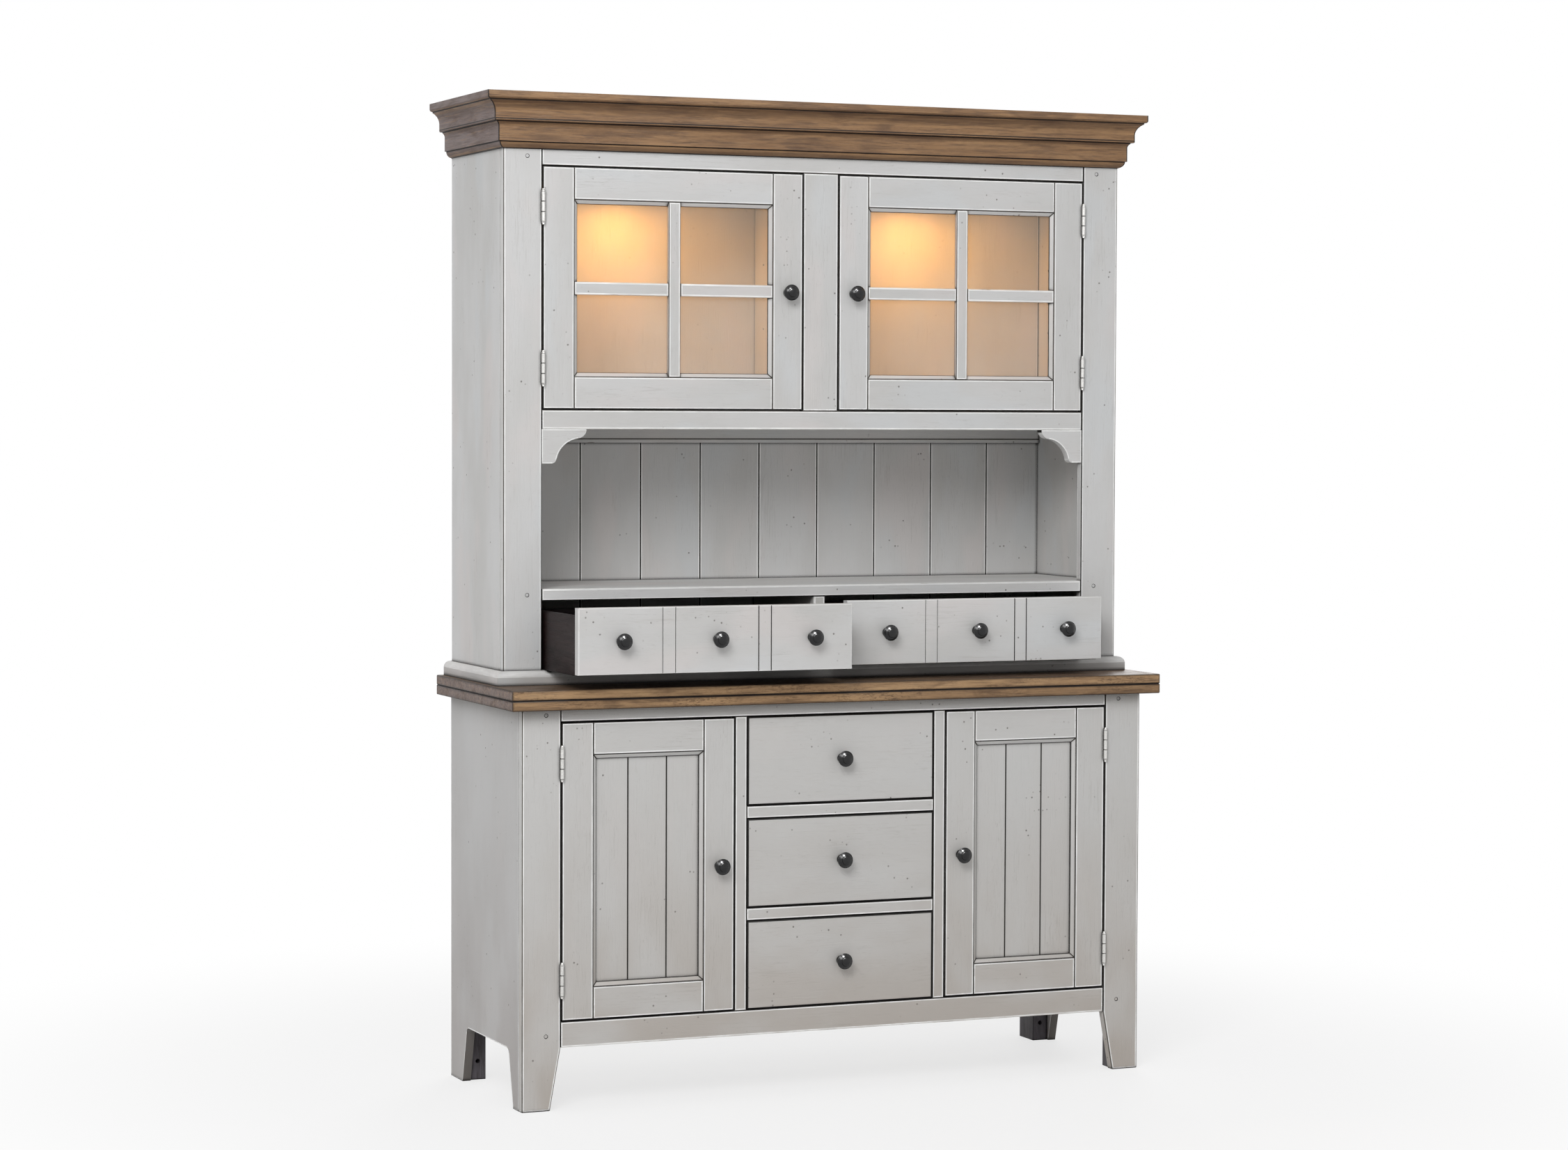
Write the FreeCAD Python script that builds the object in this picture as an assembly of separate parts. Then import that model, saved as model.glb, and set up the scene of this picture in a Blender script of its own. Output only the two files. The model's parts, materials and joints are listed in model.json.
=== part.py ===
import FreeCAD, Part
import os

# Dresser with hutch: a base with two doors and three drawers, and a hutch with two glazed
# doors, an open niche and two shallow drawers. Millimetres. +X to the right, +Y to the back,
# +Z up. The origin lies on the floor, on the centre line, at mid depth of the whole outline
# with the two hutch drawers standing open.

V = FreeCAD.Vector

# ------------------------------------------------------------------ overall
width = 1420.0                 # across the outer faces of the posts, base and hutch alike
case_front = -175.0            # front faces of the base posts
base_depth = 470.0
hutch_setback = 120.0          # hutch posts behind the base posts
hutch_back_inset = 4.0         # hutch back in front of the base back

# ------------------------------------------------------------------ boards
post_width = 84.0
frame_thick = 21.0             # posts, rails, stiles of both face frames
rail_setback = 1.0             # rails stand a little behind the posts
base_side_thick = 18.0
hutch_side_thick = 20.0
case_board_thick = 18.0        # floors, roof, shelves and base partitions
hutch_partition_thick = 22.0
back_thick = 6.0
stop_lip = 10.0                # floors and roof reach into the door openings as door stops

# ------------------------------------------------------------------ base, from the floor up
foot_height = 129.0            # floor to the underside of the bottom rail
bottom_rail_height = 53.0
base_drawer_opening = 188.0
drawer_rail_height = 26.0
base_top_rail_height = 26.0
post_foot_width = 61.0         # posts taper to this at the floor
front_leg_depth = 55.0         # side view of the legs, at the floor
rear_leg_depth = 80.0
front_leg_top_depth = 84.5     # and at the top of the cut-out
rear_leg_top_depth = 110.5
side_arch_drop = 9.0           # top of the side cut-out below the bottom rail
side_arch_radius = 12.0
rear_block_width = 36.0
rear_block_setback = 6.0       # from the cut edge of the side, at the floor
front_block_setback = 5.0      # from the foot of the post
leg_bolt_radius = 5.0
leg_bolt_depth = 40.0
leg_bolt_height = 40.0
drawer_bay_width = 430.0       # between the mullions
mullion_width = 26.5
runner_width = 20.0
runner_height = 18.0
runner_rise = 10.0             # runner tops above the lower edge of each drawer opening

# ------------------------------------------------------------------ counter
counter_board_thick = 21.0     # two boards, one on the other
counter_front_overhang = 34.0
counter_side_overhang = 32.0
counter_back_overhang = 3.0
counter_groove = 1.2           # chamfer on both boards along their shared line

# ------------------------------------------------------------------ hutch, from the counter up
foot_moulding_height = 30.0
foot_moulding_reach = 18.0
hutch_drawer_opening = 144.0
niche_shelf_thick = 24.0
niche_height = 330.5
door_rail_height = 39.5
hutch_door_opening = 503.5
frieze_rail_height = 31.5      # top rail that shows below the cornice
centre_stile_width = 80.0
divider_stile_width = 25.0
cornice_height = 114.0
cornice_reach = 49.0
cap_drop = 10.0                # dust board below the top edge of the cornice
plank_width = 140.0            # beadboard, from groove to groove
plank_groove = 3.0
batten_height = 62.0
batten_thick = 10.0
batten_bead = 7.0
corbel_width = 98.0
corbel_drop = 71.0
corbel_foot = 23.0

# ------------------------------------------------------------------ doors
door_gap = 2.5
door_seat = 0.4                # between a closed door and its stop
door_stile_width = 68.0
door_rail_width = 66.5
bead_width = 9.0
bead_front = 1.5               # bead below the door face, at the frame
bead_back = 8.0                # and at its inner edge
panel_thick = 6.0
panel_plank = 85.0
panel_groove = 2.6
muntin_width = 26.5
muntin_thick = 11.0
glass_thick = 3.0
pane_clearance = 0.5

# ------------------------------------------------------------------ hinges
barrel_radius = 4.0
barrel_stand = 0.4             # barrel clear of the door face
knuckle_length = 21.0
knuckle_play = 0.3
hinge_inset = 83.0             # door end to hinge centre
leaf_thick = 1.0
leaf_width = 19.0
pin_radius = 1.6
pin_play = 0.05
finial_length = 6.0
finial_waist_radius = 2.2
finial_ball_radius = 3.0
finial_tip_radius = 1.0
tab_clear_radius = 3.6         # tabs are cut away inside the barrel

# ------------------------------------------------------------------ knobs and pegs
knob_radius = 17.0
knob_reach = 32.0
knob_head_height = 14.0
knob_dome_rise = 8.0
knob_button_radius = 9.5       # raised round in the middle of the head
knob_button_rise = 0.8
knob_rim_ease = 3.0
knob_neck_radius = 6.5
knob_foot_radius = 9.5
knob_foot_height = 2.5
door_knob_drop = 2.0           # below the middle of the door
peg_radius = 4.5
peg_length = 14.0
peg_proud = 0.4
peg_inset = 32.0               # from the inner edge of a post
peg_from_rail = 14.0

# ------------------------------------------------------------------ drawers
drawer_gap = 2.0
hutch_face_side_gap = 4.5
hutch_face_low_gap = 2.5
hutch_face_top_gap = 5.5
face_thick = 20.0
face_round = 2.5
box_board = 12.0
box_bottom_thick = 5.0
box_bottom_rise = 10.0
box_side_gap = 1.5             # box side to runner guide
runner_play = 0.3
base_box_back_gap = 44.0       # closed box to the back panel
base_box_height = 150.0
hutch_box_back_gap = 20.0
hutch_box_height = 122.0
left_drawer_out = 211.0        # how far each hutch drawer stands open
right_drawer_out = 108.0
strip_width = 28.0             # plain strip between the three panels of a hutch drawer face
strip_groove = 2.6
guide_height = 20.0

# ------------------------------------------------------------------ shelves and lights
shelf_clearance = 2.0
glass_shelf_thick = 8.0
glass_shelf_front_gap = 37.0   # face frame to the front edge of a shelf
base_shelf_front_gap = 81.0
shelf_pin_radius = 2.5
shelf_pin_length = 15.0
shelf_pin_hole = 8.0
pin_inset = 49.0               # pin rows from the front and back of a bay
pin_pitch = 70.5
hutch_pin_height = 250.0       # middle pin above the lower edge of the door opening
base_pin_height = 300.0
light_radius = 34.0
light_height = 18.0
light_body_height = 14.4
light_lens_radius = 24.0
catch_width = 40.0
catch_depth = 20.0
catch_thick = 14.0

# ------------------------------------------------------------------ places worked out
half = width / 2
side_arch_height = foot_height - side_arch_drop
opening_edge = half - post_width
frame_back = case_front + frame_thick
base_back = case_front + base_depth
base_inner = half - base_side_thick
base_panel_front = base_back - back_thick
rail_bottom_top = foot_height + bottom_rail_height
drawer_pitch = base_drawer_opening + drawer_rail_height
base_opening_top = rail_bottom_top + 3 * drawer_pitch - drawer_rail_height
counter_bottom = base_opening_top + base_top_rail_height
counter_mid = counter_bottom + counter_board_thick
counter_top = counter_mid + counter_board_thick
base_floor_top = rail_bottom_top + stop_lip
base_floor_under = base_floor_top - case_board_thick
bay_half = drawer_bay_width / 2
mullion_outer = bay_half + mullion_width
partition_outer = bay_half + case_board_thick

hutch_front = case_front + hutch_setback
hutch_frame_back = hutch_front + frame_thick
hutch_back = base_back - hutch_back_inset
hutch_depth = hutch_back - hutch_front
hutch_inner = half - hutch_side_thick
hutch_panel_front = hutch_back - back_thick
drawer_floor = counter_top + foot_moulding_height
shelf_under = drawer_floor + hutch_drawer_opening
shelf_top = shelf_under + niche_shelf_thick
door_rail_under = shelf_top + niche_height
hutch_opening_low = door_rail_under + door_rail_height
hutch_opening_high = hutch_opening_low + hutch_door_opening
cornice_under = hutch_opening_high + frieze_rail_height
cornice_top = cornice_under + cornice_height
cap_under = cornice_top - cap_drop - case_board_thick
cabinet_floor_top = hutch_opening_low + stop_lip
cabinet_floor_under = cabinet_floor_top - case_board_thick
roof_under = hutch_opening_high - stop_lip
roof_top = roof_under + case_board_thick
partition_half = hutch_partition_thick / 2
stile_half = centre_stile_width / 2
divider_half = divider_stile_width / 2

door_thick = frame_thick - door_seat
axis_stand = barrel_radius + barrel_stand


# ------------------------------------------------------------------ helpers
def block(x0, x1, y0, y1, z0, z1):
    """A rectangular board between two corners."""
    low = V(min(x0, x1), min(y0, y1), min(z0, z1))
    return Part.makeBox(abs(x1 - x0), abs(y1 - y0), abs(z1 - z0), low)


def plate_xz(points, y0, y1):
    """An outline in X and Z, from y0 to y1."""
    wire = Part.makePolygon([V(x, y0, z) for x, z in points + points[:1]])
    return Part.Face(wire).extrude(V(0, y1 - y0, 0))


def plate_yz(points, x0, x1):
    """An outline in Y and Z, from x0 to x1."""
    wire = Part.makePolygon([V(x0, y, z) for y, z in points + points[:1]])
    return Part.Face(wire).extrude(V(x1 - x0, 0, 0))


def plate_xy(points, z0, z1):
    """An outline in X and Y, from z0 to z1."""
    wire = Part.makePolygon([V(x, y, z0) for x, y in points + points[:1]])
    return Part.Face(wire).extrude(V(0, 0, z1 - z0))


def mirrored(shape):
    """The same piece on the other side of the centre line."""
    return shape.mirror(V(0, 0, 0), V(1, 0, 0))


def pair(shape):
    return [shape, mirrored(shape)]


def edges_where(shape, test):
    """Edges whose points all pass the test."""
    return [e for e in shape.Edges if all(test(v.Point) for v in e.Vertexes)]


def near(a, b):
    return abs(a - b) < 0.001


def rounded_front(shape, y_front, radius):
    """Round the four edges around a board's front face."""
    return shape.makeFillet(radius, edges_where(shape, lambda p: near(p.y, y_front)))


def v_groove(x, y_face, size, z0, z1):
    """The wedge that a vertical groove takes out of a face at y_face."""
    points = [(x - size / 2, y_face), (x, y_face + size / 2), (x + size / 2, y_face)]
    return plate_xy(points, z0, z1)


nodes = {}


# ------------------------------------------------------------------ base case
def base_side():
    """Left side board with its legs cut out at the floor."""
    board = block(-half, -base_inner, frame_back, base_back, 0, counter_bottom)
    arch = plate_yz(
        [
            (case_front + front_leg_depth, 0),
            (case_front + front_leg_top_depth, side_arch_height),
            (base_back - rear_leg_top_depth, side_arch_height),
            (base_back - rear_leg_depth, 0),
        ],
        -half, -base_inner,
    )
    top_edges = edges_where(arch, lambda p: near(p.z, side_arch_height))
    across = [e for e in top_edges if near(e.Vertexes[0].Point.y, e.Vertexes[1].Point.y)]
    return board.cut(arch.makeFillet(side_arch_radius, across))


def base_post():
    """Left front post, tapered on its inner edge below the bottom rail."""
    outline = [
        (-half, 0),
        (-half + post_foot_width, 0),
        (-opening_edge, foot_height),
        (-opening_edge, counter_bottom),
        (-half, counter_bottom),
    ]
    post = plate_xz(outline, case_front, frame_back)
    low_peg = rail_bottom_top - peg_from_rail * 2
    high_peg = base_opening_top + peg_from_rail
    return drill_pegs(post, case_front, [low_peg, high_peg])


def peg_at(z, y_front):
    """A wood plug in a left post, a little proud of its face."""
    place = V(-opening_edge - peg_inset, y_front - peg_proud, z)
    return Part.makeCylinder(peg_radius, peg_length, place, V(0, 1, 0))


def drill_pegs(post, y_front, heights):
    """Bore a left post for its plugs and keep the plugs."""
    for z in heights:
        plug = peg_at(z, y_front)
        post = post.cut(plug)
        nodes.setdefault("pegs", []).extend(pair(plug))
    return post


def front_leg_block():
    """Left block in the corner behind the front post, set back from the post's foot."""
    inner = -half + post_foot_width - front_block_setback
    return block(-base_inner, inner, frame_back, case_front + front_leg_depth, 0, base_floor_under)


def rear_leg_block():
    """Left block inside the rear leg, bored for the joining bolt."""
    front = base_back - rear_leg_depth + rear_block_setback
    leg = block(
        -base_inner, -base_inner + rear_block_width, front, base_panel_front, 0, base_floor_under
    )
    bore_place = V(-base_inner + rear_block_width / 2, front, leg_bolt_height)
    return leg.cut(Part.makeCylinder(leg_bolt_radius, leg_bolt_depth, bore_place, V(0, 1, 0)))


def base_face_frame():
    """Top rail, bottom rail, two mullions and two drawer rails."""
    front = case_front + rail_setback
    pieces = [
        block(-opening_edge, opening_edge, front, frame_back, base_opening_top, counter_bottom),
        block(-opening_edge, opening_edge, front, frame_back, foot_height, rail_bottom_top),
    ]
    pieces += pair(block(bay_half, mullion_outer, front, frame_back, rail_bottom_top, base_opening_top))
    for level in (1, 2):
        rail_top = rail_bottom_top + level * drawer_pitch
        rail_low = rail_top - drawer_rail_height
        pieces.append(block(-bay_half, bay_half, front, frame_back, rail_low, rail_top))
    return pieces


def shelf_pin(wall_x, inward, y, z):
    """A pin set in a wall, standing out towards inward (+1 or -1 along X)."""
    start = V(wall_x - inward * shelf_pin_hole, y, z)
    return Part.makeCylinder(shelf_pin_radius, shelf_pin_length, start, V(inward, 0, 0))


def pin_holes(wall, wall_x, inward, front, back, middle):
    """Bore two rows of three pin holes in a wall; keep pins in the middle holes of both sides."""
    for y in (front + pin_inset, back - pin_inset):
        for step in (-1, 0, 1):
            hole = shelf_pin(wall_x, inward, y, middle + step * pin_pitch)
            wall = wall.cut(hole)
            if step == 0:
                nodes.setdefault("shelf_pins", []).extend(pair(hole))
    return wall


def base_case():
    middle = base_floor_top + base_pin_height
    side = pin_holes(base_side(), -base_inner, 1, frame_back, base_panel_front, middle)
    wall = block(-partition_outer, -bay_half, frame_back, base_panel_front, base_floor_top, counter_bottom)
    wall = pin_holes(wall, -partition_outer, -1, frame_back, base_panel_front, middle)
    nodes["base_sides"] = pair(side)
    nodes["base_posts"] = pair(base_post())
    nodes["leg_blocks"] = pair(front_leg_block()) + pair(rear_leg_block())
    nodes["base_face_frame"] = base_face_frame()
    nodes["partitions"] = pair(wall)
    nodes["base_floor"] = [
        block(-base_inner, base_inner, frame_back, base_panel_front, base_floor_under, base_floor_top)
    ]
    nodes["back_panels"] = [
        block(-base_inner, base_inner, base_panel_front, base_back, base_floor_under, counter_bottom)
    ]
    shelf_low = middle + shelf_pin_radius
    shelf_back = base_panel_front - shelf_clearance
    shelf = block(
        -base_inner + shelf_clearance, -partition_outer - shelf_clearance,
        frame_back + base_shelf_front_gap, shelf_back, shelf_low, shelf_low + case_board_thick,
    )
    nodes["base_shelves"] = pair(shelf)
    nodes["drawer_runners"] = []
    for level in (1, 2):
        runner_top = rail_bottom_top + level * drawer_pitch + runner_rise
        strip = block(
            bay_half - runner_width, bay_half, frame_back, base_panel_front,
            runner_top - runner_height, runner_top,
        )
        nodes["drawer_runners"] += pair(strip)


# ------------------------------------------------------------------ counter
def counter_board(z0, z1, groove_z):
    """One layer of the counter, its edge eased along the line it shares with the other."""
    side = half + counter_side_overhang
    front = case_front - counter_front_overhang
    back = base_back + counter_back_overhang
    board = block(-side, side, front, back, z0, z1)
    shared = edges_where(board, lambda p: near(p.z, groove_z))
    open_edges = [e for e in shared if not all(near(v.Point.y, back) for v in e.Vertexes)]
    return board.makeChamfer(counter_groove, open_edges)


def counter():
    nodes["counter_top"] = [counter_board(counter_mid, counter_top, counter_mid)]
    nodes["counter_underboard"] = [counter_board(counter_bottom, counter_mid, counter_mid)]


# ------------------------------------------------------------------ hutch case
def between_posts(z0, z1, front):
    """A board that fills the hutch and comes forward between the posts."""
    outline = [
        (-hutch_inner, hutch_frame_back),
        (-opening_edge, hutch_frame_back),
        (-opening_edge, front),
        (opening_edge, front),
        (opening_edge, hutch_frame_back),
        (hutch_inner, hutch_frame_back),
        (hutch_inner, hutch_panel_front),
        (-hutch_inner, hutch_panel_front),
    ]
    return plate_xy(outline, z0, z1)


def hutch_board(z0, z1):
    return block(-hutch_inner, hutch_inner, hutch_frame_back, hutch_panel_front, z0, z1)


def hutch_face_frame():
    front = hutch_front + rail_setback
    return [
        block(-opening_edge, opening_edge, front, hutch_frame_back, hutch_opening_high, cap_under),
        block(-opening_edge, opening_edge, front, hutch_frame_back, door_rail_under, hutch_opening_low),
        block(-stile_half, stile_half, front, hutch_frame_back, hutch_opening_low, hutch_opening_high),
    ]


def corbel():
    """Left corbel under the door rail: a convex nose, a hollow and a small rounded foot."""
    front = hutch_front + rail_setback
    top = door_rail_under

    def at(across, down):
        return V(-opening_edge + across * corbel_width, front, top - down * corbel_drop)

    foot = corbel_foot / corbel_width
    nose = Part.Arc(at(1.0, 0.04), at(0.95, 0.18), at(0.81, 0.27)).toShape()
    hollow = Part.Arc(at(0.81, 0.27), at(0.48, 0.49), at(foot + 0.09, 0.88)).toShape()
    toe = Part.Arc(at(foot + 0.09, 0.88), at(foot + 0.06, 0.96), at(foot, 1.0)).toShape()
    straight = Part.makePolygon([at(foot, 1.0), at(0, 1.0), at(0, 0), at(1.0, 0), at(1.0, 0.04)])
    wire = Part.Wire([nose, hollow, toe] + straight.Edges)
    return Part.Face(wire).extrude(V(0, hutch_frame_back - front, 0))


def beadboard():
    """Back of the niche and of the drawer bays, grooved every plank."""
    top = cabinet_floor_under
    board = block(-hutch_inner, hutch_inner, hutch_panel_front, hutch_back, counter_top, top)
    count = int(hutch_inner // plank_width)
    for step in range(-count, count + 1):
        groove = v_groove(step * plank_width, hutch_panel_front, plank_groove, counter_top, top)
        board = board.cut(groove)
    return board


def batten():
    """Batten at the top of the niche back, with a bead along its lower edge."""
    low = cabinet_floor_under - batten_height
    front = hutch_panel_front - batten_thick
    bead_top = low + batten_bead
    outline = [
        (hutch_panel_front, low),
        (front, low),
        (front, bead_top),
        (front + batten_thick / 4, bead_top),
        (front + batten_thick / 4, cabinet_floor_under),
        (hutch_panel_front, cabinet_floor_under),
    ]
    return plate_yz(outline, -hutch_inner, hutch_inner)


def mitred_run(profile, reach, height, z0):
    """A moulding along the hutch front with a return on each side, mitred at the corners."""
    front_strip = profile.copy()
    front_strip.rotate(V(0, 0, 0), V(0, 0, 1), -90)
    long_side = half + reach
    front_strip.translate(V(-long_side, hutch_front, z0))
    front_run = Part.Face(front_strip).extrude(V(2 * long_side, 0, 0))
    front_field = plate_xy(
        [
            (-half, hutch_front),
            (half, hutch_front),
            (half + reach, hutch_front - reach),
            (-half - reach, hutch_front - reach),
        ],
        z0, z0 + height,
    )
    side_strip = profile.copy()
    side_strip.translate(V(half, hutch_front - reach, z0))
    side_run = Part.Face(side_strip).extrude(V(0, hutch_depth + reach, 0))
    side_field = plate_xy(
        [
            (half, hutch_front),
            (half + reach, hutch_front - reach),
            (half + reach, hutch_back),
            (half, hutch_back),
        ],
        z0, z0 + height,
    )
    side = side_run.common(side_field)
    return [front_run.common(front_field), side, mirrored(side)]


def foot_moulding_profile():
    """Square below, then a quarter round up to the posts."""
    top = foot_moulding_height
    round_size = top / 2
    shoulder = foot_moulding_reach - round_size * 0.8
    arc = Part.Arc(
        V(foot_moulding_reach, 0, top - round_size),
        V(foot_moulding_reach - round_size * 0.24, 0, top - round_size * 0.3),
        V(shoulder, 0, top),
    ).toShape()
    lines = Part.makePolygon([
        V(shoulder, 0, top), V(0, 0, top), V(0, 0, 0),
        V(foot_moulding_reach, 0, 0), V(foot_moulding_reach, 0, top - round_size),
    ])
    return Part.Wire([arc] + lines.Edges)


def cornice_profile():
    """Crown moulding: fillet, frieze, small cove, upright, large cove and fascia."""
    def at(reach_share, height_share):
        return V(reach_share * cornice_reach, 0, height_share * cornice_height)

    bed = Part.Arc(at(0.041, 0.009), at(0.173, 0.044), at(0.245, 0.123)).toShape()
    small_cove = Part.Arc(at(0.316, 0.395), at(0.347, 0.434), at(0.418, 0.465)).toShape()
    bull = Part.Arc(at(0.520, 0.482), at(0.551, 0.491), at(0.561, 0.509)).toShape()
    cove = Part.Arc(at(0.561, 0.632), at(0.663, 0.759), at(0.867, 0.833)).toShape()
    nose = Part.Arc(at(0.939, 0.860), at(0.983, 0.875), at(1, 0.899)).toShape()
    edges = Part.makePolygon([at(0.245, 0.123), at(0.316, 0.127), at(0.316, 0.395)]).Edges
    edges += Part.makePolygon([at(0.418, 0.465), at(0.418, 0.478), at(0.520, 0.482)]).Edges
    edges += Part.makePolygon([at(0.561, 0.509), at(0.561, 0.632)]).Edges
    edges += Part.makePolygon([at(0.867, 0.833), at(0.867, 0.851), at(0.939, 0.860)]).Edges
    edges += Part.makePolygon([at(1, 0.899), at(1, 1), at(0, 1), at(0, 0), at(0.041, 0.009)]).Edges
    ordered = Part.__sortEdges__([bed, small_cove, bull, cove, nose] + edges)
    return Part.Wire(ordered)


def hutch_post():
    """Left hutch post, standing on the counter and running up behind the cornice."""
    post = block(-half, -opening_edge, hutch_front, hutch_frame_back, counter_top, cap_under)
    shelf_peg = (shelf_under + shelf_top) / 2
    return drill_pegs(post, hutch_front, [shelf_peg, cornice_under - peg_from_rail])


def hutch_case():
    middle = hutch_opening_low + hutch_pin_height
    side = block(-half, -hutch_inner, hutch_frame_back, hutch_back, counter_top, cap_under)
    side = pin_holes(side, -hutch_inner, 1, hutch_frame_back, hutch_panel_front, middle)
    wall = block(-partition_half, 0, hutch_frame_back, hutch_panel_front, cabinet_floor_top, roof_under)
    wall = pin_holes(wall, -partition_half, -1, hutch_frame_back, hutch_panel_front, middle)
    wall = wall.fuse(mirrored(wall)).removeSplitter()
    divider_front = hutch_front + rail_setback
    nodes["hutch_sides"] = pair(side)
    nodes["hutch_posts"] = pair(hutch_post())
    nodes["hutch_face_frame"] = hutch_face_frame()
    nodes["corbels"] = pair(corbel())
    nodes["partitions"] += [
        wall,
        block(
            -partition_half, partition_half, hutch_frame_back, hutch_panel_front,
            drawer_floor, shelf_under,
        ),
        block(-divider_half, divider_half, divider_front, hutch_frame_back, drawer_floor, shelf_under),
    ]
    nodes["hutch_boards"] = [
        between_posts(drawer_floor - case_board_thick, drawer_floor, hutch_front),
        hutch_board(cabinet_floor_under, cabinet_floor_top),
        hutch_board(roof_under, roof_top),
        block(-half, half, hutch_front, hutch_back, cap_under, cap_under + case_board_thick),
    ]
    nodes["niche_shelf"] = [between_posts(shelf_under, shelf_top, hutch_front)]
    nodes["back_panels"].append(
        block(-hutch_inner, hutch_inner, hutch_panel_front, hutch_back, cabinet_floor_under, cap_under)
    )
    nodes["beadboard_back"] = [beadboard()]
    nodes["back_batten"] = [batten()]
    nodes["foot_moulding"] = mitred_run(
        foot_moulding_profile(), foot_moulding_reach, foot_moulding_height, counter_top,
    )
    nodes["cornice"] = mitred_run(cornice_profile(), cornice_reach, cornice_height, cornice_under)
    shelf_back = hutch_panel_front - shelf_clearance
    shelf_low = middle + shelf_pin_radius
    shelf = block(
        -hutch_inner + shelf_clearance, -partition_half - shelf_clearance,
        hutch_frame_back + glass_shelf_front_gap, shelf_back, shelf_low, shelf_low + glass_shelf_thick,
    )
    nodes["glass_shelves"] = pair(shelf)
    guide = block(
        -hutch_inner, -opening_edge + hutch_face_side_gap, hutch_frame_back, hutch_panel_front,
        drawer_floor, drawer_floor + guide_height,
    )
    nodes["drawer_runners"] += pair(guide)
    nodes["puck_lights"] = pair(puck_light())


def puck_light():
    """Round light under the roof of the left bay, with a stepped lens."""
    x = -(hutch_inner + partition_half) / 2
    y = (hutch_frame_back + hutch_panel_front) / 2
    body = Part.makeCylinder(light_radius, light_body_height, V(x, y, roof_under), V(0, 0, -1))
    lens = Part.makeCylinder(light_lens_radius, light_height, V(x, y, roof_under), V(0, 0, -1))
    return body.fuse(lens).removeSplitter()


# ------------------------------------------------------------------ hinges
def knuckle(x, y, z0, z1, bore):
    place = V(x, y, z0)
    barrel = Part.makeCylinder(barrel_radius, z1 - z0, place)
    return barrel.cut(Part.makeCylinder(bore, z1 - z0, place))


def hinge_leaf(x, y, z_mid, plate_x, knuckles, bore):
    """One leaf: a plate in the door gap and its knuckles, joined by tabs."""
    span = 1.5 * knuckle_length
    face = y + axis_stand
    leaf = block(plate_x, plate_x + leaf_thick, face, face + leaf_width, z_mid - span, z_mid + span)
    for z0, z1 in knuckles:
        barrel = knuckle(x, y, z_mid + z0, z_mid + z1, bore)
        tab = block(plate_x, plate_x + leaf_thick, y, face, z_mid + z0, z_mid + z1)
        tab = tab.cut(Part.makeCylinder(tab_clear_radius, z1 - z0, V(x, y, z_mid + z0)))
        leaf = leaf.fuse(barrel).fuse(tab)
    return leaf.removeSplitter()


def hinge_pin(x, y, z_mid):
    """The pin, with a turned finial on each end of the barrel."""
    span = 1.5 * knuckle_length
    shaft = Part.makeCylinder(pin_radius, 2 * span, V(x, y, z_mid - span))
    for sign in (-1, 1):
        base = V(x, y, z_mid + sign * span)
        cap = Part.makeCone(
            barrel_radius, finial_waist_radius, finial_length / 2, base, V(0, 0, sign),
        )
        tip_place = V(x, y, z_mid + sign * (span + finial_length / 2))
        tip = Part.makeCone(
            finial_ball_radius, finial_tip_radius, finial_length / 2, tip_place, V(0, 0, sign),
        )
        shaft = shaft.fuse(cap).fuse(tip)
    return shaft.removeSplitter()


def hinges(edge, y_face, z0, z1):
    """Leaves and pins for a left door whose opening starts at x = edge."""
    x = edge + door_gap / 2
    y = y_face - axis_stand
    half_knuckle = knuckle_length / 2
    outer = [
        (-3 * half_knuckle, -half_knuckle - knuckle_play),
        (half_knuckle + knuckle_play, 3 * half_knuckle),
    ]
    inner = [(-half_knuckle, half_knuckle)]
    fixed, moving = [], []
    for z_mid in (z0 + hinge_inset, z1 - hinge_inset):
        fixed.append(hinge_leaf(x, y, z_mid, edge, outer, pin_radius))
        fixed.append(hinge_pin(x, y, z_mid))
        moving.append(hinge_leaf(x, y, z_mid, edge + door_gap - leaf_thick, inner, pin_radius + pin_play))
    return fixed, moving


# ------------------------------------------------------------------ knobs
def knob(x, y_face, z):
    """Mushroom knob: a flared foot, a neck and a domed head."""
    head_back = knob_reach - knob_head_height
    apex = knob_reach - knob_button_rise
    dome_radius = (knob_radius ** 2 + knob_dome_rise ** 2) / (2 * knob_dome_rise)

    def on_dome(r, rise=0.0):
        return V(r, 0, apex + rise - dome_radius + (dome_radius ** 2 - r ** 2) ** 0.5)

    rim = on_dome(knob_radius)
    outline = [
        V(0, 0, 0), V(knob_foot_radius, 0, 0), V(knob_foot_radius, 0, knob_foot_height),
        V(knob_neck_radius, 0, 3 * knob_foot_height), V(knob_neck_radius, 0, head_back),
        V(knob_radius - knob_rim_ease, 0, head_back), V(knob_radius, 0, (head_back + rim.z) / 2), rim,
    ]
    step_low = on_dome(knob_button_radius)
    step_high = on_dome(knob_button_radius, knob_button_rise)
    shoulder = on_dome((knob_radius + knob_button_radius) / 2)
    crown = on_dome(knob_button_radius / 2, knob_button_rise)
    top = on_dome(0, knob_button_rise)
    edges = Part.makePolygon(outline).Edges
    edges += [Part.Arc(rim, shoulder, step_low).toShape(), Part.makeLine(step_low, step_high)]
    edges += [Part.Arc(step_high, crown, top).toShape(), Part.makeLine(top, V(0, 0, 0))]
    turned = Part.Face(Part.Wire(edges)).revolve(V(0, 0, 0), V(0, 0, 1), 360)
    turned.rotate(V(0, 0, 0), V(1, 0, 0), 90)
    turned.translate(V(x, y_face, z))
    return turned


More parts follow.
